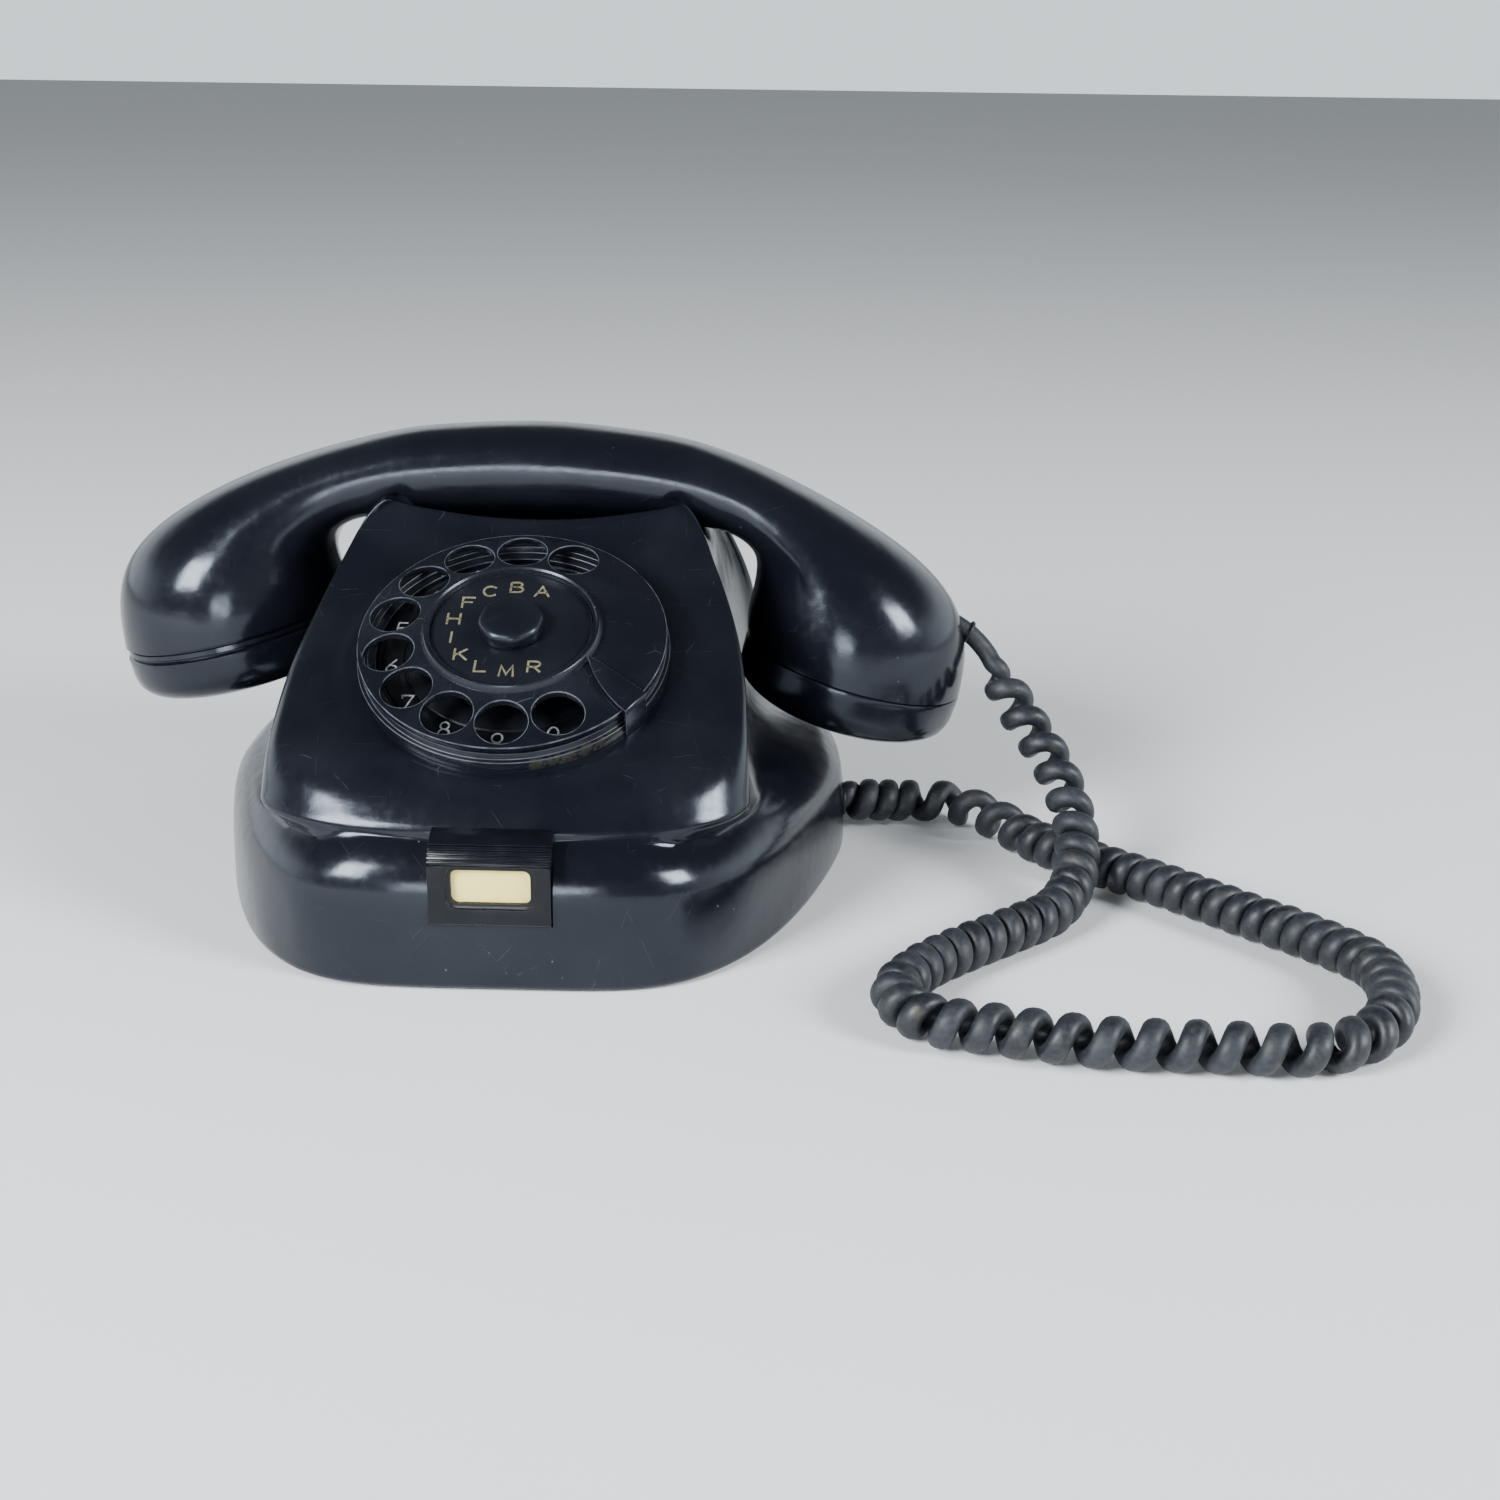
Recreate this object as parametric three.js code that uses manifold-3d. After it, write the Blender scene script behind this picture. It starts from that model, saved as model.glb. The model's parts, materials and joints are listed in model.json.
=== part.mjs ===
// Rotary desk telephone, millimetres, +Z up.
// Origin: centre of the footprint, on the surface the telephone stands on. The dial faces -Y.
import * as THREE from 'three';
import { mergeVertices } from 'three/addons/utils/BufferGeometryUtils.js';
import Module from 'manifold-3d';

const wasm = await Module();
wasm.setup();

// ---------------------------------------------------------------- driving dimensions
const GAP = 0.3;                       // clearance between pieces that touch
const BODY = {
  halfWidth: 86, front: -83, rear: 83, widestY: 17,   // footprint
  taper: 0.33, taperPower: 1.3, frontSquare: 5, rearSquare: 3.2,
  footGap: 0.8,                        // the skirt's rim stands this far above the table
  wall: 0.95,                          // inside skin as a share of the outside one
};
const STEP = { front: 35, side: 33, rear: 34 };       // height of the line between skirt and tower
const PANEL = { y: -27.7, z: 67.3, tilt: THREE.MathUtils.degToRad(27) };   // dial panel centre
const CRADLE = { y: 37, halfGap: 20.5, floor: 84.2, ridge: 93.6, horn: 100.2, hornX: 37 };
const DIAL = {
  wheelR: 39, holeCircle: 31.2, holeR: 6.5, holes: 10,
  firstHole: 65.5, holeStep: 360 / 14, cone: Math.tan(THREE.MathUtils.degToRad(8)),
  holeTop: 8.6, thickness: 1.8, beadR: 22.4, discR: 20.3, buttonR: 8, shaftR: 3,
  stopAngle: -34,
};
const GEAR = { module: 1.6, big: 30, small: 8, face: 2.4, height: -9 };
const HANDSET = { y: 37, capR: 31.5, capTilt: THREE.MathUtils.degToRad(14), handleHalf: 15,
  pivotZ: 57, lean: THREE.MathUtils.degToRad(1.2) };   // at rest its mouth end is a little lower
const EAR = { x: -89.1, z: 56.4, capHeight: 15.6 };     // centre of the seam between cup and cap
const MOUTH = { x: 88.1, z: 50.6, capHeight: 16.2 };
const CORD = { outerR: 6.2, floorZ: 6.4, exit: [121.2, 37, 55.6], inlet: [91.2, 31.3, 8.4],
  neckR: 2.4, neckSteps: 5 };            // plain wire where it leaves the handset
const GONG = { x: 25, y: 44, r: 21, top: 33, wall: 1.6 };
const PLUNGER = { x: 34, r: 3.2, travel: 6 };

// ---------------------------------------------------------------- materials
const material = (color, roughness, metalness = 0) =>
  new THREE.MeshStandardMaterial({ color, roughness, metalness });
const bakelite = material(0x0d0e12, 0.22);
const plastic = material(0x16171b, 0.35);
const rubber = material(0x1d1f22, 0.75);
const steel = material(0x9a9da2, 0.35, 1);
const brass = material(0xb08d4a, 0.35, 1);
const paper = material(0xe6ddb8, 0.85);
const glass = material(0xf4f4ee, 0.1);
const copper = material(0x8a4b2a, 0.5, 0.6);
const fibre = material(0x4a3526, 0.7);

// ---------------------------------------------------------------- solids
function toSolid(geometry) {
  const bare = geometry.clone();
  bare.deleteAttribute('normal');
  bare.deleteAttribute('uv');
  const merged = mergeVertices(bare, 1e-4);
  return new wasm.Manifold(new wasm.Mesh({
    numProp: 3,
    vertProperties: new Float32Array(merged.attributes.position.array),
    triVerts: new Uint32Array(merged.index.array),
  }));
}

function toGeometry(solid) {
  const mesh = solid.getMesh();
  const geometry = new THREE.BufferGeometry();
  geometry.setAttribute('position', new THREE.BufferAttribute(mesh.vertProperties, 3));
  geometry.setIndex(new THREE.BufferAttribute(mesh.triVerts, 1));
  return geometry;
}

const combine = (operation, first, others) => toGeometry(
  others.reduce((solid, other) => solid[operation](toSolid(other)), toSolid(first)));
const cut = (first, ...others) => combine('subtract', first, others);
const join = (first, ...others) => combine('add', first, others);

const at = (geometry, x, y, z) => geometry.translate(x, y, z);
const box = (sx, sy, sz, x, y, z) => at(new THREE.BoxGeometry(sx, sy, sz), x, y, z);

function rod(radius, length, x, y, z, sides = 16) {       // upright, standing on z
  const geometry = new THREE.CylinderGeometry(radius, radius, length, sides);
  return geometry.rotateX(Math.PI / 2).translate(x, y, z + length / 2);
}

function turned(profile, sides) {                         // closed profile of [radius, height]
  const points = profile.map(([r, h]) => new THREE.Vector2(r, h));
  const closed = profile[0][0] === 0 ? points : [...points, points[0]];
  return new THREE.LatheGeometry(closed, sides).rotateX(Math.PI / 2);
}

function prism(points, depth, z) {                        // flat outline of [x, y], extruded up
  const shape = new THREE.Shape(points.map(([x, y]) => new THREE.Vector2(x, y)));
  return at(new THREE.ExtrudeGeometry(shape, { depth, bevelEnabled: false, curveSegments: 4 }), 0, 0, z);
}

// Closed skin over rings of equal length; each end is closed by a fan about its middle.
function loft(rings) {
  const count = rings[0].length;
  const positions = rings.flat(2);
  const index = [];
  rings.slice(1).forEach((_, r) => {
    for (let k = 0; k < count; k += 1) {
      const next = (k + 1) % count;
      const [a, b, c, d] = [r * count + k, r * count + next, (r + 1) * count + next, (r + 1) * count + k];
      index.push(a, b, c, a, c, d);
    }
  });
  [0, rings.length - 1].forEach((r) => {
    const middle = [0, 1, 2].map((axis) => rings[r].reduce((sum, p) => sum + p[axis], 0) / count);
    const centre = positions.length / 3;
    positions.push(...middle);
    for (let k = 0; k < count; k += 1) {
      const edge = [r * count + k, r * count + ((k + 1) % count)];
      index.push(centre, ...(r === 0 ? edge.reverse() : edge));
    }
  });
  const geometry = new THREE.BufferGeometry();
  geometry.setAttribute('position', new THREE.Float32BufferAttribute(positions, 3));
  geometry.setIndex(facesOutward(positions, index) ? index : index.reverse());
  return geometry;
}

function facesOutward(positions, index) {                 // sign of the enclosed volume
  const [a, b, c] = [new THREE.Vector3(), new THREE.Vector3(), new THREE.Vector3()];
  let volume = 0;
  for (let k = 0; k < index.length; k += 3) {
    [a, b, c].forEach((corner, n) => corner.fromArray(positions, 3 * index[k + n]));
    volume += a.dot(b.cross(c));
  }
  return volume > 0;
}

// ---------------------------------------------------------------- the housing's outer skin
const { lerp, smoothstep, degToRad } = THREE.MathUtils;

// Straight steps through [at, value] pairs.
function curve(pairs, t) {
  if (t <= pairs[0][0]) return pairs[0][1];
  const k = pairs.findIndex(([key]) => key >= t);
  if (k < 0) return pairs[pairs.length - 1][1];
  const [[t0, v0], [t1, v1]] = [pairs[k - 1], pairs[k]];
  return lerp(v0, v1, (t - t0) / (t1 - t0));
}

// Footprint, moved in by inset: a superellipse whose sides draw in towards the front.
function skirtPoint(angle, inset) {
  const front = BODY.widestY - BODY.front - inset;
  const rear = BODY.rear - BODY.widestY - inset;
  const [across, along] = [Math.sin(angle), -Math.cos(angle)];
  const reach = along < 0 ? front : rear;
  const square = along < 0 ? BODY.frontSquare : BODY.rearSquare;
  const width = BODY.halfWidth - inset;
  const radius = (Math.abs(across / width) ** square + Math.abs(along / reach) ** square) ** (-1 / square);
  const y = along * radius;
  const draw = along < 0 ? 1 - BODY.taper * (-y / front) ** BODY.taperPower : 1;
  return [across * radius * draw, BODY.widestY + y];
}

// Front profile below the panel's plane, then the plane itself.
function towerFront(z) {
  const plane = PANEL.y + (z - PANEL.z) / Math.tan(PANEL.tilt);
  if (z > 86.5) return curve([[86.5, 10], [90, 13.8], [93.6, 16.5], [101, 21]], z);
  return Math.max(plane, curve([[35, -75.6], [39, -75.2], [43, -73.4], [46.4, -70], [48.6, -65.6]], z));
}

const towerRear = (z) => curve([[34, 75], [50, 72.5], [75, 66], [92, 60], [101, 57]], z);
const towerEdge = (z) => curve([[35, 61], [57, 59.8], [98, 43.4], [101, 42]], z);
const towerWaist = (z) => curve([[33, 70], [36, 63], [43, 56], [52, 52.8], [60, 51.6], [75, 50.2],
  [88, 47.6], [101, 44]], z);
const edgeY = (z) => curve([[35, -54], [40, -50.6], [50, -43.5], [57, -33.4], [73.4, -8], [88, 6.1],
  [98, 17]], z);
const rearEdgeY = (z) => towerRear(z) - 7;
const LIP = 2.2;                       // the front plate's edge stands this proud of the side

// Cross-section of the tower at height z. part 0..1 is the front plate, 1..2 the side,
// 2..3 the rear.
function towerPoint(part, z) {
  const edge = towerEdge(z);
  if (part <= 1) {
    const [centre, side] = [towerFront(z), edgeY(z)];
    const square = 2.35 + 1.8 * smoothstep(z, 38, 54);
    const share = centre < side ? Math.sqrt(1 - part ** square) : 1 - part ** 2.5;
    return [part * edge, lerp(side, centre, share)];
  }
  if (part <= 2) {
    const t = part - 1;
    const lip = LIP * smoothstep(z, 42, 50) * smoothstep(t, 0, 0.02) * (1 - smoothstep(t, 0.98, 1));
    const hollow = edge - lip - towerWaist(z);
    return [edge - lip - hollow * Math.sin(Math.PI * t) ** 0.7, lerp(edgeY(z), rearEdgeY(z), t)];
  }
  const angle = (part - 2) * Math.PI / 2;
  return [edge * Math.cos(angle) ** 0.35, rearEdgeY(z) + 7 * Math.sin(angle) ** 0.6];
}

// Height of the tower's rim: a saddle between two horns at front and rear, a notch at each side.
const saddle = (x) => (x < CRADLE.hornX
  ? lerp(CRADLE.ridge, CRADLE.horn, (x / CRADLE.hornX) ** 2)
  : CRADLE.horn - 0.1 * (x - CRADLE.hornX) ** 2);
const trough = (x) => CRADLE.floor + 2.6 * Math.min(1, Math.abs(x) / 40) ** 2;

function topHeight(x, y) {
  const rise = smoothstep(Math.abs(y - CRADLE.y), 14, CRADLE.halfGap);
  return lerp(trough(x), saddle(Math.abs(x)), rise);
}

// Matching place on the skirt for a part of the tower.
const skirtAngle = (part) => (part <= 1 ? degToRad(38) * part
  : part <= 2 ? lerp(degToRad(38), degToRad(135), part - 1)
  : lerp(degToRad(135), Math.PI, part - 2));

const weightSide = (part) => Math.sin(Math.PI * Math.min(1, Math.max(0, (part - 0.6) / 1.8))) ** 2;

// One ring of the skirt, with its own height at the front and at the sides.
const skirtRing = (parts, inset, zFront, zSide) => parts.map((part) => {
  const [x, y] = skirtPoint(skirtAngle(part), inset);
  return [x, y, lerp(zFront, zSide, weightSide(part))];
});

function rimOf(part) {                  // the tower's top edge
  let z = 97;
  for (let pass = 0; pass < 12; pass += 1) {
    const [x, y] = towerPoint(part, z);
    z = lerp(z, topHeight(x, y), 0.6);
  }
  return z;
}

const towerRing = (parts, share) => parts.map((part) => {
  const low = part <= 1 ? STEP.front : lerp(STEP.side, STEP.rear, part - 2 > 0 ? part - 2 : 0);
  const z = lerp(low + 0.6, rimOf(part), share);
  const [x, y] = towerPoint(part, z);
  return [x, y, z];
});

const capRing = (parts, share) => parts.map((part) => {
  const [rimX, rimY] = towerPoint(part, rimOf(part));
  const [x, y] = [rimX * share, lerp(CRADLE.y, rimY, share)];
  return [x, y, topHeight(x, y)];
});

const mirrored = (half) => [...half, ...half.slice(1, -1).reverse().map(([x, y, z]) => [-x, y, z])];

function housingSkin(parts, shares) {
  const skirt = [[0, BODY.footGap, BODY.footGap], [0.3, 20, 17.5], [2, 26, 23], [5, 30.6, 26.6],
    [8.2, STEP.front - 0.8, 30]];
  return loft([
    ...skirt.map((row) => skirtRing(parts, ...row)),
    ...shares.map((share) => towerRing(parts, share)),
    ...[0.92, 0.8, 0.64, 0.3].map((share) => capRing(parts, share)),
  ].map(mirrored));
}

// ---------------------------------------------------------------- casing
const part = new THREE.Group();
part.name = 'rotary_telephone';

function place(name, geometry, finish, parent = part) {
  const mesh = new THREE.Mesh(geometry.index ? geometry.toNonIndexed() : geometry, finish);
  mesh.geometry.computeVertexNormals();
  mesh.name = name;
  parent.add(mesh);
  return mesh;
}

const onPanel = (geometry) => at(geometry.rotateX(PANEL.tilt), 0, PANEL.y, PANEL.z);
const bossSpots = { front_left: [-65.5, -28], front_right: [65.5, -28],
  rear_left: [-73.5, 42], rear_right: [73.5, 42] };
const CARD = { half: 14.6, front: -84, back: -74.5, low: 17.6, top: 37.2 };

function housing() {
  const parts = [0, 0.25, 0.5, 0.7, 0.82, 0.91, 0.97, 1, 1.03, 1.2, 1.4, 1.6, 1.8, 1.97, 2, 2.25, 2.6, 3];
  const outside = housingSkin(parts, [0, 0.1, 0.22, 0.4, 0.62, 0.84, 1]);
  const inside = housingSkin(parts, [0, 0.15, 0.5, 1]);
  inside.translate(0, -10, 0).scale(BODY.wall - 0.005, BODY.wall, 0.965).translate(0, 10, -1);
  const below = box(400, 400, 20, 0, 0, BODY.footGap - 10);
  const cardSlot = box(2 * CARD.half, 14, CARD.top - CARD.low, 0, CARD.back - 7, (CARD.top + CARD.low) / 2);
  const bosses = Object.values(bossSpots).map(([x, y]) => rod(6, 12, x, y, 4.1, 10));
  const pilots = Object.values(bossSpots).map(([x, y]) => rod(1.9, 9, x, y, 3, 8));
  const shell = join(cut(outside, inside, below), ...bosses);
  return cut(shell, ...pilots, cardSlot,
    onPanel(rod(36.6, 16, 0, 0, -9, 36)),
    onPanel(rod(42, 20, 0, 0, 0, 40)),
    rod(PLUNGER.r + 0.5, 20, -PLUNGER.x, CRADLE.y, 75, 12),
    rod(PLUNGER.r + 0.5, 20, PLUNGER.x, CRADLE.y, 75, 12),
    at(rod(4.6, 14, 0, 0, -7, 12).rotateY(Math.PI / 2), 83, CORD.inlet[1], CORD.inlet[2]),
    at(rod(4.6, 14, 0, 0, -7, 12).rotateX(Math.PI / 2), -38, 80, 10));
}
place('housing', housing(), bakelite);

function footprint(scale, count) {
  const half = Array.from({ length: count + 1 }, (_, k) => skirtPoint((k / count) * Math.PI, 0));
  const all = mirrored(half.map(([x, y]) => [x, y, 0]));
  return all.map(([x, y]) => [x * scale, 10 + (y - 10) * scale]);
}
const plateHoles = Object.values(bossSpots).map(([x, y]) => rod(2.2, 6, x, y, 0, 8));
place('base_plate', cut(prism(footprint(0.92, 12), 1.8, 2), ...plateHoles), steel);
Object.entries(bossSpots).forEach(([name, [x, y]]) => place(`base_screw_${name}`,
  join(rod(3.4, 1, x, y, 0.7, 10), rod(1.5, 9, x, y, 1.5, 8)), steel));
[['front_left', -40, -60], ['front_right', 40, -60], ['rear_left', -48, 62], ['rear_right', 48, 62]]
  .forEach(([name, x, y]) => place(`foot_${name}`, turned([[0, 0], [6.5, 0], [7, 0.6], [7, 1.7], [0, 1.7]], 14)
    .translate(x, y, 0), rubber));

// ---------------------------------------------------------------- number card and its holder
function cardHolder() {
  const face = CARD.front;
  const profile = [[face + 0.3, CARD.low + GAP], [face + 0.2, 26], [face + 1.2, 31.5], [face + 3.2, 34.6],
    [face + 5.6, CARD.top - GAP], [CARD.back - GAP, CARD.top - GAP], [CARD.back - GAP, CARD.low + GAP]];
  const block = prism(profile, 2 * (CARD.half - GAP), -(CARD.half - GAP));
  const turnedBlock = block.applyMatrix4(new THREE.Matrix4().set(
    0, 0, 1, 0, 1, 0, 0, 0, 0, 1, 0, 0, 0, 0, 0, 1));
  return cut(turnedBlock, box(19.6, 3, 9.6, 0, face + 0.6, 26));
}
place('card_holder', cardHolder(), plastic);
place('number_card', box(19, 0.4, 9, 0, CARD.front + 1.55, 26), paper);
place('card_window', box(19, 0.6, 9, 0, CARD.front + 0.75, 26), glass);

// ---------------------------------------------------------------- cord entries
const bush = turned([[2.7, -6], [4.1, -6], [4.1, 2.3], [5.6, 2.3], [4.8, 4.4], [2.7, 4.4]], 12);
place('handset_cord_bush', at(bush.clone().rotateY(Math.PI / 2), 84.6, CORD.inlet[1], CORD.inlet[2]), rubber);
place('line_cord_inlet', at(turned([[2.7, -7], [4.1, -7], [4.1, 4.3], [2.7, 4.3]], 12)
  .rotateX(-Math.PI / 2), -38, 79.5, 10), rubber);

// ---------------------------------------------------------------- dial, in the panel's own frame
const dial = new THREE.Group();
dial.position.set(0, PANEL.y, PANEL.z);
dial.rotation.x = PANEL.tilt;
part.add(dial);
const wheelTop = (r) => DIAL.holeTop + (DIAL.holeCircle - r) * DIAL.cone;
const polar = (r, degrees) => [r * Math.cos(degToRad(degrees)), r * Math.sin(degToRad(degrees))];

place('dial_ring', turned([[34.9, -3], [36.2, -3], [36.2, GAP], [41.4, GAP], [41.4, 2], [39.9, 2.4],
  [39.9, 4.7], [37.2, 5], [34.9, 4]], 36), bakelite, dial);
place('number_plate', turned([[9, 0.6], [34.6, 0.6], [34.6, 1.6], [9, 1.6]], 36), plastic, dial);

function fingerWheel() {
  const rim = DIAL.wheelR;
  const skin = turned([[10, wheelTop(10) - 2.6], [22, wheelTop(22) - DIAL.thickness],
    [rim - 0.4, wheelTop(rim) - DIAL.thickness], [rim, wheelTop(rim) - 0.9], [rim - 0.5, wheelTop(rim)],
    [DIAL.beadR + 0.4, wheelTop(DIAL.beadR)], [DIAL.beadR - 0.2, 11.8], [DIAL.discR + 0.3, 11.8],
    [DIAL.discR + 0.3, 10.2], [10, 10.2]], 36);
  const holes = Array.from({ length: DIAL.holes }, (_, k) => {
    const [x, y] = polar(DIAL.holeCircle, DIAL.firstHole + k * DIAL.holeStep);
    return rod(DIAL.holeR, 10, x, y, 3, 12);
  });
  return cut(skin, ...holes);
}
place('finger_wheel', fingerWheel(), bakelite, dial);
place('letter_disc', turned([[3.4, 10.5], [DIAL.discR, 10.5], [DIAL.discR, 11.3], [3.4, 11.3]], 28), plastic, dial);
place('hub_cap', turned([[0, 11.6], [DIAL.buttonR, 11.6], [DIAL.buttonR, 13.4], [DIAL.buttonR - 1, 14.2],
  [0, 14.2]], 20), bakelite, dial);
place('dial_shaft', join(rod(DIAL.shaftR, 25.2, 0, 0, -15, 16), rod(9.6, 2.4, 0, 0, 7.6, 20)), steel, dial);

// Teeth as blunt trapezia, slim enough to run free of the mating gear.
function gear(teeth, bore, phase) {
  const pitch = GEAR.module * teeth / 2;
  const outline = Array.from({ length: teeth }, (_, k) => {
    const turn = 360 / teeth;
    const corner = (r, share) => polar(r, phase + (k + share) * turn);
    return [corner(pitch - 1.35, -0.27), corner(pitch + 0.95, -0.09), corner(pitch + 0.95, 0.09),
      corner(pitch - 1.35, 0.27)];
  }).flat();
  return cut(prism(outline, GEAR.face, GEAR.height), rod(bore, 6, 0, 0, GEAR.height - 2, 12));
}
const PINION = { x: 0, y: -(GEAR.module * (GEAR.big + GEAR.small)) / 2 };   // down-slope of the shaft
place('drive_gear', gear(GEAR.big, DIAL.shaftR + GAP, 90), brass, dial);
place('pinion', at(gear(GEAR.small, 1.8, 90 + 180 / GEAR.small), PINION.x, PINION.y, 0), brass, dial);
place('pulse_shaft', rod(1.5, 20, PINION.x, PINION.y, -23, 10), steel, dial);
const camLobes = [0, 120, 240].map((a) => at(box(9, 3, 1.6, 0, 0, -17.2).rotateZ(degToRad(a)), PINION.x, PINION.y, 0));
place('pulse_cam', cut(join(rod(3.4, 1.6, PINION.x, PINION.y, -18, 12), ...camLobes),
  rod(1.8, 4, PINION.x, PINION.y, -19, 10)), fibre, dial);
place('worm_wheel', cut(rod(6.4, 1.8, PINION.x, PINION.y, -22.4, 18),
  rod(1.8, 4, PINION.x, PINION.y, -23.4, 10)), brass, dial);

function chassis() {
  const disc = rod(34.4, 1.4, 0, 0, -5, 32);
  const posts = [15, 165, 205, 335].map((a) => rod(2.4, 26.6, ...polar(30.5, a), -31.2, 8));
  const back = cut(rod(33.6, 1.4, 0, 0, -31.8, 24), box(80, 40, 6, 0, 32, -31));
  return cut(join(disc, back, ...posts), rod(DIAL.shaftR + 0.4, 6, 0, 0, -7, 12),
    rod(2, 6, PINION.x, PINION.y, -7, 10));
}
place('dial_chassis', chassis(), steel, dial);

const GOVERNOR = { y: PINION.y + 9.6, z: -21.5 };
const alongX = (geometry, x, y, z) => at(geometry.rotateY(Math.PI / 2), x, y, z);
place('governor', join(alongX(rod(1.4, 46, 0, 0, -23, 10), 1, GOVERNOR.y, GOVERNOR.z),
  alongX(rod(2.9, 13, 0, 0, -6.5, 12), 0, GOVERNOR.y, GOVERNOR.z),
  box(2.4, 12, 3, 18, GOVERNOR.y, GOVERNOR.z)), brass, dial);
place('governor_cup', alongX(turned([[1.9, -5], [8, -5], [8, 5], [7, 5], [7, -4], [1.9, -4]], 18),
  18.6, GOVERNOR.y, GOVERNOR.z), steel, dial);
place('pulse_contacts', join(box(0.6, 14, 2.4, -10.4, PINION.y + 1, -17.2), box(0.6, 14, 2.4, -7.4, PINION.y + 1, -17.2),
  box(3.9, 4, 5, -9.1, PINION.y + 7.4, -17.2)), brass, dial);
place('return_spring', turned([[4, -14], [9, -14], [9, -10.2], [4, -10.2]], 20), steel, dial);

// The stop's horn: [radius, degrees, half width, underside, top] from its foot to its tip.
function fingerStop() {
  const stations = [[42.6, -35.6, 3.4, 2.5, 8.4], [40.9, -35.2, 3.5, 2.5, 9.5], [40.4, -35, 3.5, 8.1, 9.9],
    [36, -33.6, 3.1, 8.7, 10.5], [31, -31, 2.4, 9.4, 11], [26.5, -29, 1.3, 10.1, 11.5], [23.2, -28.4, 0.4, 10.6, 11.7]];
  return loft(stations.map(([r, a, half, low, high]) => {
    const [x, y] = polar(r, a);
    const [sideX, sideY] = polar(half, a + 90);
    return [[x - sideX, y - sideY, low], [x + sideX, y + sideY, low], [x + sideX, y + sideY, high],
      [x - sideX, y - sideY, high]];
  }));
}
place('finger_stop', fingerStop(), bakelite, dial);

// ---------------------------------------------------------------- handset
// Each station joins a point of the upper outline to one of the lower outline, in the X-Z plane,
// with the half thickness there: [upper x, upper z, lower x, lower z, half].
const middle = [0, 115.4, 0, 91.4, HANDSET.handleHalf];
const earArm = [[34, 113, 33, 90, 15.3], [55, 108, 49.5, 88.3, 16.4], [72, 102.5, 55.2, 86, 18.4],
  [88, 95.8, 58.4, 82.6, 21.4], [102, 88.2, 59.6, 78.6, 24.4], [112, 80.8, 59.4, 75.6, 27.4],
  [118.9, 72, 58, 71, 29.8], [121.3, 60.6, 57.2, 67, 31.1]];
const mouthArm = [[34, 112.8, 33, 90, 15.3], [55, 107, 49.5, 88.3, 16.4], [72, 99.6, 55.2, 86, 18.4],
  [88, 91.2, 58.4, 82.6, 21.4], [102, 82.6, 59.6, 78.6, 24.4], [111.6, 74.4, 59.4, 73.6, 27.4],
  [118, 65, 58, 67.6, 29.8], [120.2, 54, 57.2, 62.4, 31.1]];

function seamStation(cup) {
  const [c, s] = [Math.cos(HANDSET.capTilt) * HANDSET.capR, Math.sin(HANDSET.capTilt) * HANDSET.capR];
  const x = Math.abs(cup.x);
  return [x + c, cup.z - s, x - c, cup.z + s, HANDSET.capR];
}
const flip = ([ux, uz, lx, lz, half]) => [-ux, uz, -lx, lz, half];
const handsetStations = [flip(seamStation(EAR)), ...earArm.slice().reverse().map(flip), middle, ...mouthArm,
  seamStation(MOUTH)];
const SIDES = 16;

const handset = new THREE.Group();
handset.position.set(0, HANDSET.y, HANDSET.pivotZ);
handset.rotation.y = HANDSET.lean;
part.add(handset);
const hold = (name, geometry, finish) =>
  place(name, at(geometry, 0, -HANDSET.y, -HANDSET.pivotZ), finish, handset);
const GROMMET = { x: 120.4, z: 58.1 };  // where the cord leaves, before the handset leans

function section([ux, uz, lx, lz, half]) {
  return Array.from({ length: SIDES }, (_, k) => {
    const angle = (2 * Math.PI * k) / SIDES;
    const up = (1 + Math.cos(angle)) / 2;
    return [lerp(lx, ux, up), HANDSET.y + half * Math.sin(angle), lerp(lz, uz, up)];
  });
}

// Moves a piece made about +Z, with its mouth down, onto a cup's seam.
const onCup = (geometry, cup) => at(geometry.rotateY(-Math.sign(cup.x) * -HANDSET.capTilt), cup.x, HANDSET.y, cup.z);
const handsetShell = cut(loft(handsetStations.map(section)), onCup(rod(25, 15, 0, 0, -1, 20), EAR),
  onCup(rod(25, 15, 0, 0, -1, 20), MOUTH),
  at(rod(2.7, 16, 0, 0, -8, 10).rotateY(Math.PI / 2), 116, HANDSET.y, GROMMET.z));
hold('handset_shell', handsetShell, bakelite);

function cap(height, faceR, grooved) {
  const r = HANDSET.capR;
  const top = grooved ? [[r - 1.2, -GAP], [r - 1.2, -2.2], [r, -2.6]] : [[r, -GAP]];
  const shell = turned([[26, -GAP], ...top, [r - 0.6, -height * 0.5], [faceR + 2.4, -height + 1.8], [faceR, -height],
    [0, -height], [0, -height + 2.6], [faceR - 2, -height + 2.8], [26, -height + 8]].reverse(), 20);
  const holes = [[0, 0], ...[0, 60, 120, 180, 240, 300].map((a) => polar(9, a))];
  return cut(shell, ...holes.map(([x, y]) => rod(1.5, 8, x, y, -height - 2, 6)));
}
hold('ear_cap', onCup(cap(EAR.capHeight, 25.5, true), EAR), bakelite);
hold('mouth_cap', onCup(cap(MOUTH.capHeight, 19, false), MOUTH), bakelite);
const capsule = (low) => turned([[0, low], [21, low], [22.5, low + 2], [24.4, low + 4], [24.4, low + 12], [0, low + 12]], 20);
hold('receiver_capsule', onCup(capsule(-3), EAR), steel);
hold('transmitter_capsule', onCup(capsule(-3), MOUTH), steel);
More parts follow.
